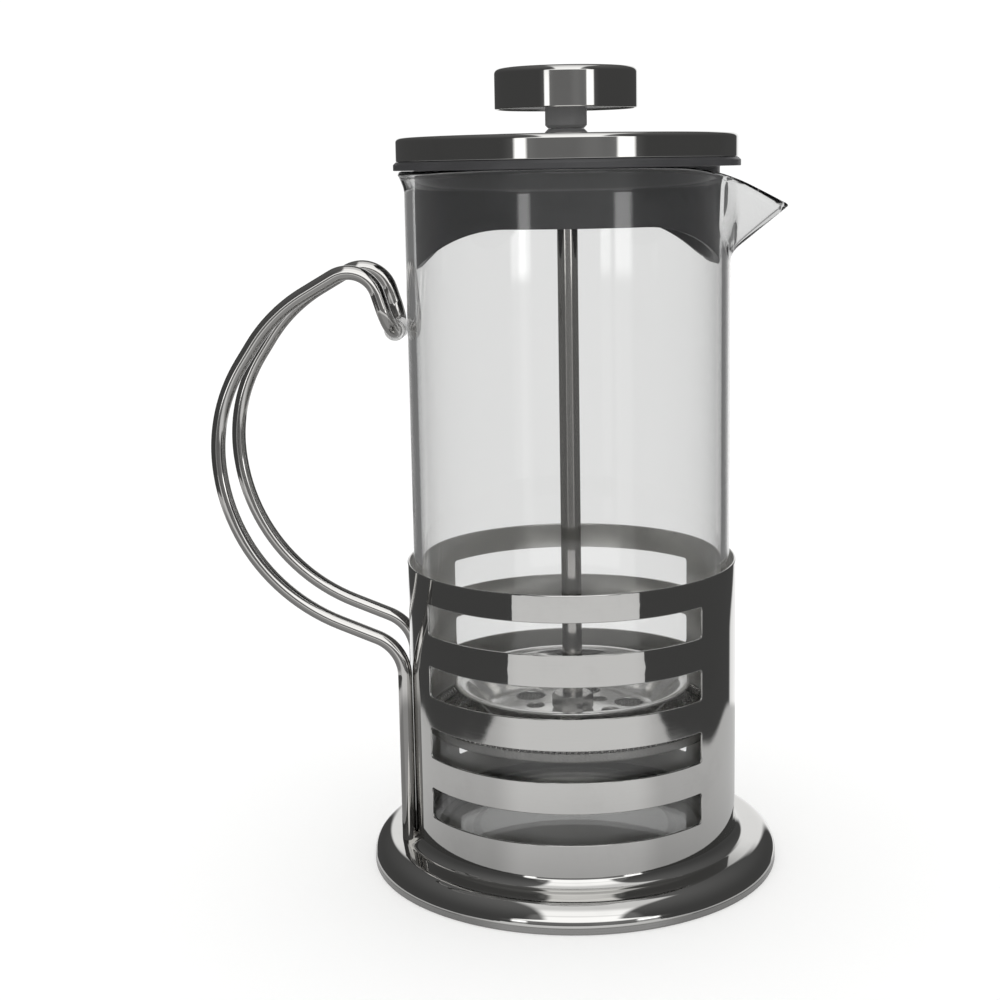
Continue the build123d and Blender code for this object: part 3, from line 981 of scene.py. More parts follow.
@dataclass(frozen=True)
class Beaker:
    """The glass beaker with its pulled spout. Sizes are in millimetres.

    Args:
        radius: The wall's outer radius.
        wall: The wall's thickness.
        bottom: The height of its underside.
        top: The height of its rim.
        corner: The radius of the lower corner's middle.
        flare: How far the rim stands out from the wall.
        flare_height: The height over which it does.
        flare_power: How late it does.
        spout_bottom: The height at which the spout starts.
        spout_reach: How far the spout's ridge stands out at the height of the rim.
        spout_sink: How far the ridge lies inside the wall where the spout starts.
        nose: The radius of the spout's nose.
        root: The radius of the spout's root, and how far out its middle is.
        spout_wall: The spout's thickness.
        mouth: Where the mouth starts to dip, how fast its fall grows, and its greatest fall.
        melt: The width over which the spout melts into the wall, below its ridge and at its sides.
        melt_turn: The angles from the ridge between which the one width becomes the other, in radians.
        melt_rise: The height over which it does.
        plain: The height up to which the wall has no points but at its ends.
        sector: The angle to each side of the spout in which points lie closest, in degrees.
    """

    radius: float = 39.2
    wall: float = 2.0
    bottom: float = 6.7
    top: float = 172.4
    corner: float = 5.0
    flare: float = 1.4
    flare_height: float = 5.0
    flare_power: float = 1.6
    spout_bottom: float = 151.5
    spout_reach: float = 25.8
    spout_sink: float = 0.3
    nose: float = 3.5
    root: Pair = (20.0, 16.7)
    spout_wall: float = 1.7
    mouth: Triple = (26.0, 0.0245, 0.465)
    melt: Pair = (2.4, 7.0)
    melt_turn: Pair = (0.09, 0.39)
    melt_rise: float = 9.0
    plain: float = 136.0
    sector: float = 34.0

    def spout(self, angle: np.ndarray, height: np.ndarray, inset: float) -> np.ndarray:
        """The spout's distance from the axis.

        At each height the spout is the hull of its root circle and its nose circle: near the middle a ray
        meets the nose, then the line that touches both circles, r = (m sin(b) + R) / sin(t + b), then the root.

        Args:
            angle: The angles round the axis, from the middle of the spout.
            height: The heights.
            inset: How far the hull is drawn in on all sides.

        Returns:
            The distances, in the shape of both arguments together.
        """
        climb = np.clip((height - self.spout_bottom) / (self.top - self.spout_bottom), -0.2, 1)
        start = -self.spout_sink if inset == 0 else -self.spout_wall
        middle = self.radius - self.nose + start + climb * (self.spout_reach - start)
        root, root_middle = self.root[0] - inset, self.root[1]
        nose = self.nose - inset
        lean = np.arcsin(np.clip((root - nose) / np.maximum(middle - root_middle, 1.0), -1, 1))
        side = np.abs(angle)
        line = (root_middle * np.sin(lean) + root) / np.maximum(np.sin(side + lean), 0.05)
        tip = self.ray(side, middle, nose)
        touch = np.arctan2(nose * np.cos(lean), middle + nose * np.sin(lean))
        leave = np.arctan2(root * np.cos(lean), root_middle + root * np.sin(lean))
        return np.where(side < touch, tip, np.where(side < leave, line, self.ray(side, root_middle, root)))

    def ray(self, angle: np.ndarray, middle: np.ndarray | float, radius: float) -> np.ndarray:
        """The distance at which rays from the axis leave a circle: c cos(t) + sqrt(n^2 - c^2 sin(t)^2)."""
        under = np.maximum(radius**2 - (middle * np.sin(angle)) ** 2, 0)
        return np.maximum(middle * np.cos(angle) + np.sqrt(under), 0.0)

    def wall_radius(self, angle: np.ndarray, height: np.ndarray, inner: bool) -> np.ndarray:
        """The wall's outer or inner radius: the round wall and the spout, melted together where they meet.

        With h = (1 + (spout - wall) / melt) / 2, kept from 0 to 1, it is the mix of both by h, and melt h (1 - h)
        on top of it.

        Args:
            angle: The angles round the axis, from the middle of the spout.
            height: The heights.
            inner: Whether the inner radius is meant.

        Returns:
            The radii, in the shape of both arguments together.
        """
        flare = np.clip((height - self.top + self.flare_height) / (self.flare_height - self.wall / 2), 0, 1)
        plain = self.radius - (self.wall if inner else 0) + self.flare * flare**self.flare_power
        spout = self.spout(angle, height, self.spout_wall if inner else 0.0)
        below, beside = self.melt
        start, end = self.melt_turn
        rise = np.clip((height - self.spout_bottom) / self.melt_rise, 0, 1)
        melt = below + (beside - below) * np.clip((np.abs(angle) - start) / (end - start), 0, 1) * rise
        share = np.clip(0.5 + 0.5 * (spout - plain) / melt, 0, 1)
        return plain + (spout - plain) * share + melt * share * (1 - share)

    def rim(self, angle: np.ndarray) -> np.ndarray:
        """The rim's height: level, then a dip that steepens, k s^2 / 2, then a straight fall to the spout's tip.

        The dip depends on how far out the wall is, which depends on the height, so half steps settle both.

        Args:
            angle: The angles round the axis, from the middle of the spout.

        Returns:
            The heights.
        """
        start, growth, fall = self.mouth
        height = np.full_like(angle, self.top)
        rounds = 40
        for _ in range(rounds):
            beyond = np.maximum(self.wall_radius(angle, height, False) * np.cos(angle) - start, 0)
            bent = np.minimum(beyond, fall / growth)
            dip = growth * bent**2 / 2 + fall * (beyond - bent)
            height = (height + self.top - dip) / 2
        return height

    def build(self) -> None:
        """Makes the beaker: its underside, outer wall, round rim, inner wall and floor as one surface."""
        near = np.radians(np.linspace(-self.sector, self.sector, 161))
        far = np.radians(np.linspace(self.sector, 360 - self.sector, 221))[1:-1]
        angle = np.concatenate([near, far])
        swing = np.where(angle > math.pi, angle - TURN, angle)
        rim = self.rim(swing)
        around = np.stack([np.cos(angle), np.sin(angle)], axis=-1)
        share = np.concatenate([np.linspace(0, 0.4, 9)[:-1], np.linspace(0.4, 1, 46)])[:, None]
        heights = self.plain + share * (rim - self.wall / 2 - self.plain)
        outer = self.wall_radius(swing[None], heights, False)
        inner = self.wall_radius(swing[None], heights, True)
        bend = np.linspace(0, math.pi, 11)[1:-1, None]
        middle, half = (outer[-1] + inner[-1]) / 2, (outer[-1] - inner[-1]) / 2
        lip = middle + half * np.cos(bend)
        lip_height = rim - self.wall / 2 + self.wall / 2 * np.sin(bend)
        low = [(0.0, self.bottom), (self.radius, self.bottom), (self.radius, self.plain)]
        outside = rounded(low, [self.corner + self.wall / 2], 14)[:-1]
        floor, bore = self.bottom + self.wall, self.radius - self.wall
        low = [(0.0, floor), (bore, floor), (bore, self.plain)]
        inside = rounded(low, [self.corner - self.wall / 2], 14)[:-1]
        ones = np.ones_like(angle)
        reach = [np.outer(outside[:, 0], ones), outer, lip, inner[::-1], np.outer(inside[::-1, 0], ones)]
        height = [np.outer(outside[:, 1], ones), heights, lip_height, heights[::-1]]
        height.append(np.outer(inside[::-1, 1], ones))
        far_out = np.concatenate(reach)[..., None]
        points = np.concatenate([far_out * around, np.concatenate(height)[..., None]], axis=-1)
        glass = grid(points, wrap_columns=True)
        piece = make("beaker_wall", glass, GLASS, Body.BEAKER, Slot.GLASS, ["glass_beaker"], crease=60.0)
        piece.visible_shadow = False  # clear glass throws no dark shadow in soft light


@dataclass(frozen=True)
class Lid:
    """The steel cap, its plastic insert, and the bush for the rod. Sizes are in millimetres.

    Args:
        sheet: The thickness of the steel.
        radius: The radius of the cap's middle.
        hole: The radius of the hole in the middle.
        bottom: The height of the lower edge.
        top: The height of the upper face.
        bend: The radius of the upper bend.
        skirt: The skirt's inner and outer radius and the height of its lower edge.
        arch: Half the arch's width at its foot and at its top, its rise, and the radius of its corners.
        collar: The height of the skirt under the flange that the arch leaves as it is.
        turn: The angle to which the lid is turned, in degrees.
        flange: The flange's radius, its thickness and its chamfer.
        ceiling: The heights of the insert's ceiling.
        retainer: The retainer's outer radius and its heights.
        bush: The bush's radius, the radius of its flange, and its heights from the lowest to the top.
        bore: The radius of the bush's bore.
    """

    sheet: float = 0.5
    radius: float = 40.75
    hole: float = 4.35
    bottom: float = 172.5
    top: float = 180.2
    bend: float = 0.8
    skirt: Triple = (35.0, 36.6, 149.3)
    arch: tuple[float, float, float, float] = (36.1, 25.0, 10.0, 25.0)
    collar: float = 7.0
    turn: float = 5.4
    flange: Triple = (41.6, 2.0, 0.6)
    ceiling: Pair = (178.05, 179.65)
    retainer: Triple = (7.0, 176.8, 178.0)
    bush: tuple[float, ...] = (4.3, 5.1, 175.05, 180.25, 181.05, 181.85)
    bore: float = 2.55

    def build(self) -> None:
        """Makes the cap, the insert, the retainer and the bush."""
        middle, edge = self.top - self.sheet / 2, self.sheet / 2
        seat = self.bottom + self.flange[1] + FIT
        line = [(self.hole + edge, middle), (self.radius, middle), (self.radius, seat + edge)]
        cap = turned(sheet_outline(rounded(line, [self.bend]), self.sheet), 320)
        make("lid_cap", cap, POLISHED, Body.LID, Slot.POLISHED, ["lid_shell"])
        self.build_insert()
        outer, low, high = self.retainer
        ring = turned(ring_outline([(self.hole, low), (outer, low), (outer, high), (self.hole, high)], 0.2), 96)
        make("bush_ring", ring, BLACK, Body.LID, Slot.BLACK, ["bush_retainer"])
        radius, brim, low, seat, step, high = self.bush
        body = [(self.bore, low), (radius, low), (radius, seat), (brim, seat), (brim, step), (radius, high)]
        bush = turned(ring_outline([*body, (self.bore, high)], 0.12), 128)
        make("rod_bush", bush, GREY, Body.GUIDE, Slot.GREY, ["lid_bush"])

    def build_insert(self) -> None:
        """Makes the insert, its skirt's lower edge raised by the arch: half a trapezoid with a round corner."""
        inner, outer, low = self.skirt
        brim, thick, chamfer = self.flange
        under, over = self.ceiling
        seat = self.bottom + thick
        corners = [(self.hole, under), (inner, under), (inner, low), (outer, low), (outer, self.bottom)]
        corners += [(brim, self.bottom), (brim, seat - chamfer), (brim - chamfer, seat), (outer, seat)]
        corners += [(outer, over), (self.hole, over)]
        turns = [np.linspace(start, end, steps)[:-1] for start, end, steps in self.spacing()]
        turn = math.radians(self.turn)
        body = turned(ring_outline(corners, 0.2), np.radians(np.concatenate(turns)) + turn)
        x, y, z = body.points.T
        half, crown, rise, bend = self.arch
        arch = rounded([(0.0, rise), (crown, rise), (half, 0.0)], [bend], 30)
        lift = np.interp(np.abs(x * math.cos(turn) + y * math.sin(turn)), arch[:, 0], arch[:, 1])
        high = self.bottom - self.collar
        fade = np.clip((high - z) / (high - low), 0, 1)
        skirt = Surface(np.stack([x, y, z + lift * fade], axis=-1), body.faces)
        make("skirt_insert", skirt, BLACK, Body.LID, Slot.BLACK, ["lid_insert"])

    def spacing(self) -> list[tuple[float, float, int]]:
        """Angles round the insert, closest where the arches end.

        Returns:
            The first and last angle of each stretch in degrees, and the number of points in it.
        """
        end, close = math.degrees(math.acos(self.arch[0] / self.skirt[1])), 6
        half = [-end - close, -end, end, end + close]
        knots = [*half, *(180 + knot for knot in half), 360 + half[0]]
        steps = [25, 17, 25, 121] * 2
        return list(zip(knots, knots[1:], steps))


@dataclass(frozen=True)
class Knob:
    """The steel puck of the knob on its plastic core, and the thread insert in it. Sizes are in millimetres.

    Args:
        radius: The outer radius of the puck.
        bottom: The height of its lower edge.
        top: The height of its upper face.
        sheet: The thickness of its steel.
        bend: The radius of its upper bend.
        recess: How far the core lies inside the puck.
        neck: The neck's radius, the height of its lower end, and its chamfer.
        bore: The radius of the bore for the rod.
        insert: The radius of the insert's hole and its heights.
    """

    radius: float = 17.1
    bottom: float = 186.45
    top: float = 196.05
    sheet: float = 0.6
    bend: float = 1.0
    recess: float = 0.5
    neck: Triple = (5.0, 181.95, 0.7)
    bore: float = 2.55
    insert: Triple = (3.55, 187.4, 194.5)

    def build(self) -> None:
        """Makes the puck and its core, and dresses the insert."""
        middle, ceiling = self.radius - self.sheet / 2, self.top - self.sheet / 2
        line = rounded([(0.0, ceiling), (middle, ceiling), (middle, self.bottom + self.sheet / 2)], [self.bend], 14)
        puck = turned(sheet_outline(line, self.sheet, start=False), 256, closed=False)
        make("knob_puck", puck, POLISHED, Body.PLUNGER, Slot.POLISHED, ["knob_shell"])
        radius, low, chamfer = self.neck
        hole, seat, roof = self.insert
        inside, under, over = middle - self.sheet / 2 - FIT, self.bottom + self.recess, ceiling - self.sheet / 2
        body = [(0.0, over - FIT), (inside - self.bend, over - FIT), (inside, over - self.bend), (inside, under)]
        body += [(radius, under), (radius, low + chamfer), (radius - chamfer, low), (self.bore, low)]
        body += [(self.bore, seat), (hole, seat), (hole, roof), (0.0, roof)]
        core = turned(rounded(body, [0.2] * 10, 4), 160, closed=False)
        make("knob_body", core, GREY, Body.PLUNGER, Slot.GREY, ["knob_core"])
        dress("knob_thread", BRASS)


@dataclass(frozen=True)
class Filter:
    """The rod and the filter on its end. Sizes are in millimetres.

    Args:
        rod: The rod's radius and its heights.
        hub: The hub nut's radius, its flange's radius, and its heights.
        sheet: The thickness of the dish.
        floor: The height of the middle of the dish's floor.
        dish: The radii of the dish's floor, brim and rim.
        depth: The depth of the dish.
        bends: The radii of the dish's two bends.
        large: The diameter of the large holes, their distance from the axis, and the first one's angle.
        small: The same of the small holes.
        pairs: How many large and small holes there are.
        plain: The radii between which the dish has its holes.
        nut: The nut's width across its flats, its lower and upper height, and its chamfer.
        clearance: The gap between the rod and what it goes through.
        cloth: The woven cloth's radius, the distance of its wires, their diameter, and its height.
        hem: The hem's inner and outer radius, its floor's height, and the heights of both its edges.
        weave: The hem's thickness, and how far its weave stands out in the check and in the rows.
        coil: The spring's ring radius, its height, the coil's radius, the wire's diameter, and the turns.
        coil_span: The angle that the spring covers, in degrees.
    """

    rod: Triple = (2.5, 32.55, 193.4)
    hub: tuple[float, ...] = (5.0, 8.0, 31.3, 35.3, 36.3)
    sheet: float = 0.6
    floor: float = 37.7
    dish: Triple = (20.5, 27.5, 29.7)
    depth: float = 8.0
    bends: Pair = (5.3, 2.65)
    large: Triple = (7.5, 15.0, 19.0)
    small: Triple = (4.7, 9.8, 49.0)
    pairs: int = 6
    plain: Pair = (5.7, 20.3)
    nut: tuple[float, float, float, float] = (9.0, 38.0, 42.0, 0.4)
    clearance: float = 0.1
    cloth: tuple[float, float, float, float] = (33.7, 1.0, 0.22, 37.12)
    hem: tuple[float, ...] = (33.73, 36.77, 36.24, 37.2, 38.4)
    weave: Triple = (0.2, 0.06, 0.03)
    coil: tuple[float, float, float, float, int] = (35.25, 37.78, 1.0, 0.45, 150)
    coil_span: float = 356.0

    def build(self) -> None:
        """Makes the rod, the hub nut, the dish, the nut, the cloth, its hem and the spring."""
        radius, low, high = self.rod
        line = rounded([(0.0, low), (radius, low), (radius, high), (0.0, high)], [0.4, 0.4], 5)
        make("press_rod", turned(line, 64, closed=False), GROUND, Body.PLUNGER, Slot.ROD, ["plunger_rod"])
        body, brim, low, step, high = self.hub
        nut = [(0.0, low), (body, low), (body, step), (brim, step), (brim, high), (radius, high), (0.0, high)]
        hub = turned(rounded(nut, [0.6, 0.2, 0.3, 0.1, 0.05], 4), 128, closed=False)
        make("clamp_nut", hub, GROUND, Body.PLUNGER, Slot.ROD, ["hub_nut"])
        make("drain_dish", self.drain_dish(), STAMPED, Body.PLUNGER, Slot.POLISHED, ["filter_dish"])
        make("hex_nut", self.hex_nut(), FASTENER, Body.PLUNGER, Slot.ROD, ["lock_nut"], crease=25.0)
        make("woven_cloth", self.woven_cloth(), WOVEN, Body.PLUNGER, Slot.MESH, ["filter_mesh"], crease=180.0)
        make("woven_hem", self.woven_hem(), WOVEN, Body.PLUNGER, Slot.MESH, [], crease=180.0)
        make("hem_spring", self.spring(), DRAWN, Body.PLUNGER, Slot.MESH, ["filter_spring"], crease=180.0)
        dress("cross_plate", POLISHED)

    def skin(self, reach: np.ndarray, offset: float) -> np.ndarray:
        """The dish's outline at distances from the axis, moved off the sheet's middle along its normal.

        Args:
            reach: The distances.
            offset: How far it is moved.

        Returns:
            Distances from the axis and heights.
        """
        foot, brim, edge = self.dish
        high = self.floor + self.depth
        line = rounded([(0.0, self.floor), (foot, self.floor), (brim, high), (edge, high)], self.bends, 18)
        along = headings(line)
        across = [np.interp(reach, line[:, 0], part) for part in (line[:, 1], -along[:, 1], along[:, 0])]
        height, out, up = across
        return np.stack([reach + offset * out, height + offset * up], axis=-1)

    def place(self, flat: np.ndarray, offset: float) -> np.ndarray:
        """Puts points of the dish's plan on its sheet.

        Args:
            flat: Points of the plan.
            offset: How far off the sheet's middle they go.

        Returns:
            The points in space.
        """
        reach = np.linalg.norm(flat, axis=-1, keepdims=True)
        skin = self.skin(reach[..., 0], offset)
        return np.concatenate([flat / reach * skin[..., :1], skin[..., 1:]], axis=-1)

    def drain_dish(self) -> Surface:
        """The dish: twelve sectors with a hole each, and a plain ring inside and outside them.

        Returns:
            The closed sheet.
        """
        (near, far), half, steps, climbs = self.plain, self.sheet / 2, 20, 24
        sector = math.pi / self.pairs
        share = np.linspace(-0.5, 0.5, steps + 1)[:-1] * sector
        climb = np.linspace(near, far, climbs + 1)[:-1]
        side = np.full(climbs, sector / 2)
        turn = np.concatenate([share, side, -share, -side])
        reach = np.concatenate([np.full(steps, near), climb, np.full(steps, far), near + far - climb])
        parts: list[Surface] = []
        for width, ring, start in (self.large, self.small):
            for middle in np.radians(start) + np.arange(self.pairs) * TURN / self.pairs:
                border = np.stack([reach * np.cos(turn + middle), reach * np.sin(turn + middle)], axis=-1)
                centre = ring * np.array([math.cos(middle), math.sin(middle)])
                hole = centre + unit(border - centre) * width / 2
                parts.append(pierced(border, hole, self.place, half))
        angles = np.radians(self.large[2]) - sector / 2 + np.arange(2 * self.pairs * steps) * sector / steps
        edge = self.dish[2] - half
        for run in (np.linspace(far, edge, 60), np.linspace(near, self.rod[0] + self.clearance, 8)):
            front, back = self.skin(run, half), self.skin(run, -half)
            ends = (front[-1] + back[-1]) / 2
            bend = np.linspace(0, math.pi, 7)[1:-1, None]
            outwards = np.array([np.sign(run[-1] - run[0]), 0.0]) * half
            cap = ends + (front[-1] - ends) * np.cos(bend) + outwards * np.sin(bend)
            parts.append(turned(np.concatenate([front, cap, back[::-1]]), angles, closed=False))
        return joined(parts)

    def hex_nut(self) -> Surface:
        """The nut: r = w / 2 / cos(t) on each flat, cut by the cone of its chamfer at both ends.

        Returns:
            The nut with its bore.
        """
        width, low, high, chamfer = self.nut
        angle = np.arange(144) * TURN / 144
        flat = np.mod(angle, math.pi / 3) - math.pi / 6
        hexagon = width / 2 / np.cos(flat)
        corner = width / math.sqrt(3) - width / 2
        cut = np.linspace(0, chamfer, 7)
        height = np.concatenate([[low], low + cut, high - cut[::-1], [high]])
        cone = width / 2 + corner * np.minimum(height - low, high - height) / chamfer
        reach = np.minimum(hexagon[None], cone[:, None])
        reach[[0, -1]] = self.rod[0] + self.clearance
        around = np.stack([np.cos(angle), np.sin(angle)], axis=-1)
        upright = np.broadcast_to(height[:, None, None], (*reach.shape, 1))
        return grid(np.concatenate([reach[..., None] * around, upright], axis=-1), wrap_rows=True, wrap_columns=True)

    def woven_cloth(self) -> Surface:
        """Two sets of wires that pass over and under each other: z = a cos(pi s / p), and -z at the next wire.

        Returns:
            The cloth.
        """
        radius, pitch, wire, level = self.cloth
        count = int(radius / pitch)
        lines = np.arange(-count, count + 1) * pitch
        share = np.linspace(-1, 1, 118)
        along = share[None] * np.sqrt(np.maximum(radius**2 - lines**2, 0.5))[:, None]
        sign = np.where(np.arange(-count, count + 1) % 2 == 0, 1.0, -1.0)[:, None]
        swing = wire * 0.55  # a little over half a wire, so that crossing wires clear each other
        wave = swing * np.cos(math.pi * along / pitch) * sign
        angle = np.arange(4) * TURN / 4
        taper = np.where(np.abs(share) < 1, wire / 2, 0.0)[None, :, None]
        side = lines[:, None, None] + taper * np.cos(angle)
        layers: list[Surface] = []
        for turn in (1.0, -1.0):
            height = level + turn * wave[..., None] + taper * np.sin(angle)
            run = np.broadcast_to(along[..., None], height.shape)
            across = np.broadcast_to(side, height.shape)
            points = np.stack([run, across, height] if turn > 0 else [across, run, height], axis=-1)
            index = np.arange(points[..., 0].size).reshape(points.shape[:3])
            beside = np.roll(index, -1, axis=2)
            corners = [index[:, :-1], beside[:, :-1], beside[:, 1:], index[:, 1:]]
            layers.append(Surface(points.reshape(-1, 3), np.stack(corners, axis=-1).reshape(-1, 4)))
        return joined(layers)

    def woven_hem(self) -> Surface:
        """The hem: a trough of cloth, its skin raised by the weave, a sin(m t) sin(2 pi s / p) + b cos(m t).

        Returns:
            The hem.
        """
        inner, outer, low, lip, high = self.hem
        thick, check, rows = self.weave
        line = rounded([(inner, lip), (inner, low), (outer, low), (outer, high)], [0.5, 0.6], 8)
        run = np.concatenate([[0.0], np.cumsum(np.linalg.norm(np.diff(line, axis=0), axis=1))])
        even = np.linspace(0, run[-1], 30)
        line = np.stack([np.interp(even, run, part) for part in line.T], axis=-1)
        outline = sheet_outline(line, thick)
        pitch = self.cloth[1]
        steps = 4 * round(TURN * outer / pitch)
        body = turned(outline, steps)
        out = unit(outline - np.roll(outline, 1, axis=0))
        normal = np.stack([-out[:, 1], out[:, 0]], axis=-1)
        length = np.cumsum(np.linalg.norm(outline - np.roll(outline, 1, axis=0), axis=1))
        turn = np.arange(steps) * TURN / 4
        swell = -check * np.sin(length * TURN / pitch)[:, None] * np.sin(turn)[None] - rows * np.cos(turn)[None]
        angle = np.arange(steps) * TURN / steps
        away = [normal[:, :1] * np.cos(angle), normal[:, :1] * np.sin(angle), normal[:, 1:] * np.ones_like(angle)]
        shift = swell[..., None] * np.stack(away, axis=-1)
        return Surface(body.points + shift.reshape(-1, 3), body.faces)

    def spring(self) -> Surface:
        """The spring: a coil whose middle runs round a ring.

        A point of it is at the distance R + r cos(n t) from the axis and at the height h + r sin(n t).

        Returns:
            The spring's wire.
        """
        ring, level, radius, wire, turns = self.coil
        span = math.radians(self.coil_span)
        along = np.linspace(0, span, turns * 14 + 1)
        around = along * turns * TURN / span
        reach = ring + radius * np.cos(around)
        path = np.stack([reach * np.cos(along), reach * np.sin(along), level + radius * np.sin(around)], axis=-1)
        middle = np.stack([ring * np.cos(along), ring * np.sin(along), np.full_like(along, level)], axis=-1)
        return tube(path, wire / 2, middle - path, sides=6, chamfer=0.08)


# The studio


@dataclass(frozen=True)
class Studio:
    """The pale floor, the soft light round it, and the camera. Angles are in degrees.

    A light's edges are given as its first and last angle and their softness. A profile is a start, and steps of
    a change and the two angles between which it happens.

    Args:
        floor: The radius of the floor in metres.
        backdrop: The brightness behind the press, seen past it and seen through its glass.
        dome: The brightness of the soft light from all round on matt surfaces.
        dark: The profile, by height, of the room's brightness in polished surfaces.
        veil: What glass adds to it.
        strips: The two upright lights: their middle and half their width.
        strip_soft: The softness of their sides, and of the halo round them.
        halo: The brightness of that halo.
        strip_ends: The edges of their lower and upper end.
        glow: The profile of their brightness by height.
        wall: The edges of the wall between the lights.
        wall_ends: The edges of its lower and upper end.
        wall_glow: Its brightness.
        patch: The edges of a brighter patch of it.
        patch_glow: The share that the patch adds.
        window: The edges, to the left and right, of the soft light above the camera.
        window_ends: Its edges below and behind.
        window_spread: The profile, by height, of how much wider it is to each side.
        window_glow: The profile of its brightness by height.
        window_bar: The edges of a dimmer bar across it.
        bar_loss: The share of light that the bar takes.
        sweep: The middle of the bright ground behind the press, and the softness of its edges.
        sweep_width: The profile, by height, of half its width.
        sweep_glow: The profile of its brightness by height.
        sweep_loss: The share of its light that glass takes.
        table: The profile, by height, of the pale table's brightness in polished surfaces.
        table_middle: The angle round the press at which the table has its middle.
        table_side: The profile, by the angle from that middle, of the share of light that is left.
        table_edge: The profile, by that angle, of the height of the table's far edge.
        edge_soft: The softness of that edge.
        lens: The camera's focal length on a 36 mm sensor.
        shift: The camera's shift.
        place: The camera's place in metres.
        heading: The camera's turn, its downward pitch, and its roll.
    """

    floor: float = 2.5
    backdrop: Pair = (1.05, 0.83)
    dome: float = 1.16
    dark: Profile = (0.07, ((0.1, 0.0, 90.0),))
    veil: float = 0.12
    strips: tuple[Pair, ...] = ((-28.0, 4.0), (41.2, 6.0))
    strip_soft: Pair = (1.4, 10.0)
    halo: float = 0.07
    strip_ends: Triple = (-13.0, 4.0, 1.5)
    glow: Profile = (0.35, ((2.05, -4.0, -3.2), (-0.8, -0.3, 0.5)))
    wall: Triple = (-24.0, 38.0, 3.0)
    wall_ends: Triple = (-12.0, 40.0, 6.0)
    wall_glow: float = 0.12
    patch: Triple = (12.0, 26.0, 6.0)
    patch_glow: float = 0.3
    window: Triple = (-14.0, 25.0, 2.5)
    window_ends: Triple = (6.0, 105.0, 2.5)
    window_spread: Profile = (17.0, ((-17.0, 9.0, 17.0),))
    window_glow: Profile = (1.35, ((-0.6075, 54.0, 76.0),))
    window_bar: Triple = (33.0, 39.0, 3.0)
    bar_loss: float = 0.3
    sweep: Pair = (2.0, 3.0)
    sweep_width: Profile = (31.0, ((-12.0, -15.5, -13.0),))
    sweep_glow: Profile = (0.95, ((-0.95, 23.0, 31.0),))
    sweep_loss: float = 0.45
    table: Profile = (0.369, ((0.451, -26.0, -19.5),))
    table_middle: float = 4.8
    table_side: Profile = (1.0, ((-0.27, 38.0, 64.0),))
    table_edge: Profile = (
        -12.5,
        ((-3.2, 43.2, 44.6), (-1.8, 47.0, 48.4), (-1.6, 48.0, 72.0), (1.3, 105.0, 140.0)),
    )
    edge_soft: float = 0.15
    lens: float = 61.65
    shift: Pair = (-0.02, -0.04)
    place: Triple = (0.01457, -0.41725, 0.173)
    heading: Triple = (-3.697, 9.71, 0.961)

    def build(self) -> None:
        """Lays the floor, lights the room and sets up the camera."""
        reach = np.append(0.0, np.geomspace(0.05, self.floor, 33)) / MM
        level = np.stack([reach, np.full_like(reach, -FIT)], axis=-1)
        floor = shape("pale_floor", turned(level, 96, closed=False), PAPER, crease=30.0)
        floor.visible_glossy = floor.visible_transmission = False
        self.light()
        self.look()

    def room(self, graph: Graph, through: Value) -> Value:
        """The room in polished surfaces, by the direction in which a ray leaves them.

        Args:
            graph: The nodes of the world.
            through: 1 for rays that came through glass, else 0.

        Returns:
            The brightness: a pale table below, two upright lights, a grey wall between them and a soft light
            above on the camera's side, bright ground behind the press, and the dark of the room elsewhere.
        """
        x, y, z = graph.split(graph.value("ShaderNodeTexCoord", {}, {}, "Generated"))
        front = 0 - y
        turn = graph.math("ARCTAN2", x, front) * DEGREES
        climb = graph.math("ARCSINE", z) * DEGREES
        room = climb.profile(*self.dark) + through * self.veil
        ends, glow = climb.window(*self.strip_ends), climb.profile(*self.glow)
        for middle, half in self.strips:
            strip, halo = [turn.window(middle - half, middle + half, soft) for soft in self.strip_soft]
            room = room + (strip + self.halo * halo) * ends * glow
        wall = turn.window(*self.wall) + self.patch_glow * turn.window(*self.patch)
        room = room + wall * climb.window(*self.wall_ends) * self.wall_glow
        left, right, soft = self.window
        aslant = graph.math("ARCSINE", x) * DEGREES
        tilt = graph.math("ARCTAN2", z, front) * DEGREES
        beyond = graph.math("ABSOLUTE", aslant - (left + right) / 2) - (right - left) / 2
        pane = 1 - (beyond - tilt.profile(*self.window_spread)).ramp(-soft, soft)
        pane = pane * tilt.window(*self.window_ends) * (1 - self.bar_loss * tilt.window(*self.window_bar))
        room = room + pane * tilt.profile(*self.window_glow)
        middle, soft = self.sweep
        behind = graph.math("ARCTAN2", x, y) * DEGREES
        beyond = graph.math("ABSOLUTE", behind - middle) - climb.profile(*self.sweep_width)
        ground = (1 - beyond.ramp(-soft, soft)) * climb.profile(*self.sweep_glow)
        room = room + ground * (1 - self.sweep_loss * through)
        aside = graph.math("ABSOLUTE", turn - self.table_middle)
        above = (climb - aside.profile(*self.table_edge)).ramp(-self.edge_soft, self.edge_soft)
        table = climb.profile(*self.table) * aside.profile(*self.table_side)
        return room * above + table * (1 - above)

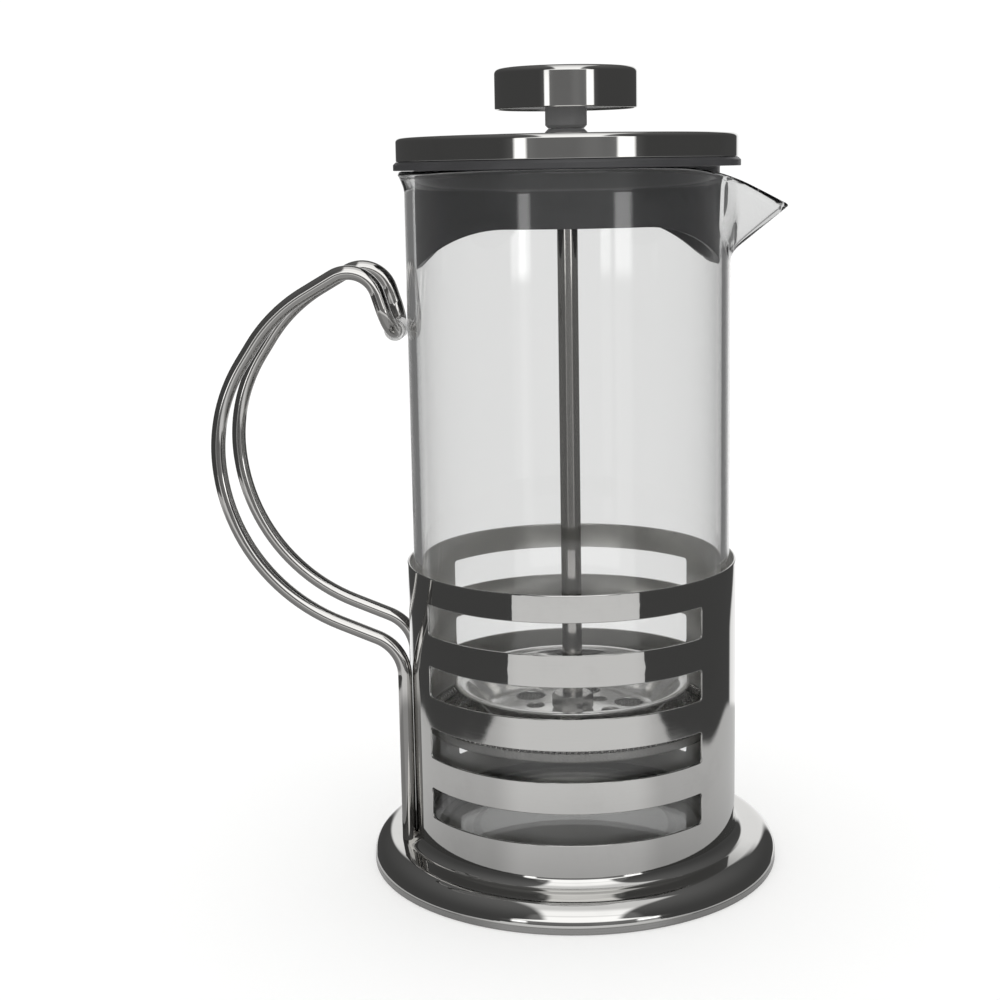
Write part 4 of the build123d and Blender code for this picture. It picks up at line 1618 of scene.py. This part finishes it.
    def light(self) -> None:
        """Lights the room.

        What a ray meets depends on the surfaces that it left, so that the ground behind the press stays plain
        while polished surfaces show the lights and the dark of the room between them.
        """
        world = bpy.data.worlds.new("soft_studio")
        bpy.context.scene.world = world
        world.use_nodes = True
        world.cycles.sampling_method = "NONE"
        graph = Graph(world.node_tree)
        path = graph.node("ShaderNodeLightPath", {}, {}).outputs
        depths = [Value(graph, path[name]) for name in ("Diffuse Depth", "Glossy Depth", "Transmission Depth")]
        matt, shiny, through = [graph.math("MINIMUM", depth, 1.0) for depth in depths]
        past, behind_glass = self.backdrop
        plain = past + (behind_glass - past) * through
        strength = matt * self.dome + (1 - matt) * (shiny * self.room(graph, through) + (1 - shiny) * plain)
        ground = graph.value("ShaderNodeBackground", {}, {"Color": (1, 1, 1, 1), "Strength": strength})
        graph.node("ShaderNodeOutputWorld", {}, {"Surface": ground})
        scene = bpy.context.scene
        scene.view_settings.view_transform = "Standard"
        scene.cycles.max_bounces = scene.cycles.transmission_bounces = 24
        scene.cycles.glossy_bounces = 8

    def look(self) -> None:
        """Sets up the camera."""
        turn, pitch, roll = np.radians(self.heading)
        forward = np.array([math.sin(turn) * math.cos(pitch), math.cos(turn) * math.cos(pitch), -math.sin(pitch)])
        level = np.array([math.cos(turn), -math.sin(turn), 0.0])
        above = np.cross(level, forward)
        right = math.cos(roll) * level - math.sin(roll) * above
        up = math.sin(roll) * level + math.cos(roll) * above
        data = bpy.data.cameras.new("studio_camera")
        data.lens, data.sensor_width = self.lens, 36.0
        data.shift_x, data.shift_y = self.shift
        data.clip_start, data.clip_end = 0.01, 20.0
        camera = bpy.data.objects.new("studio_camera", data)
        columns = np.stack([right, up, -forward, np.array(self.place)], axis=-1)
        camera.matrix_world = Matrix([*columns.tolist(), [0, 0, 0, 1]])
        bpy.context.scene.collection.objects.link(camera)
        bpy.context.scene.camera = camera


def main() -> None:
    """Builds the press and its studio."""
    logging.basicConfig(level=logging.INFO, format="%(message)s")
    for assembly in (Foot(), Cage(), Handle(), Beaker(), Lid(), Knob(), Filter(), Studio()):
        assembly.build()
        log.info("%s done", type(assembly).__name__)


if __name__ == "__main__":
    main()
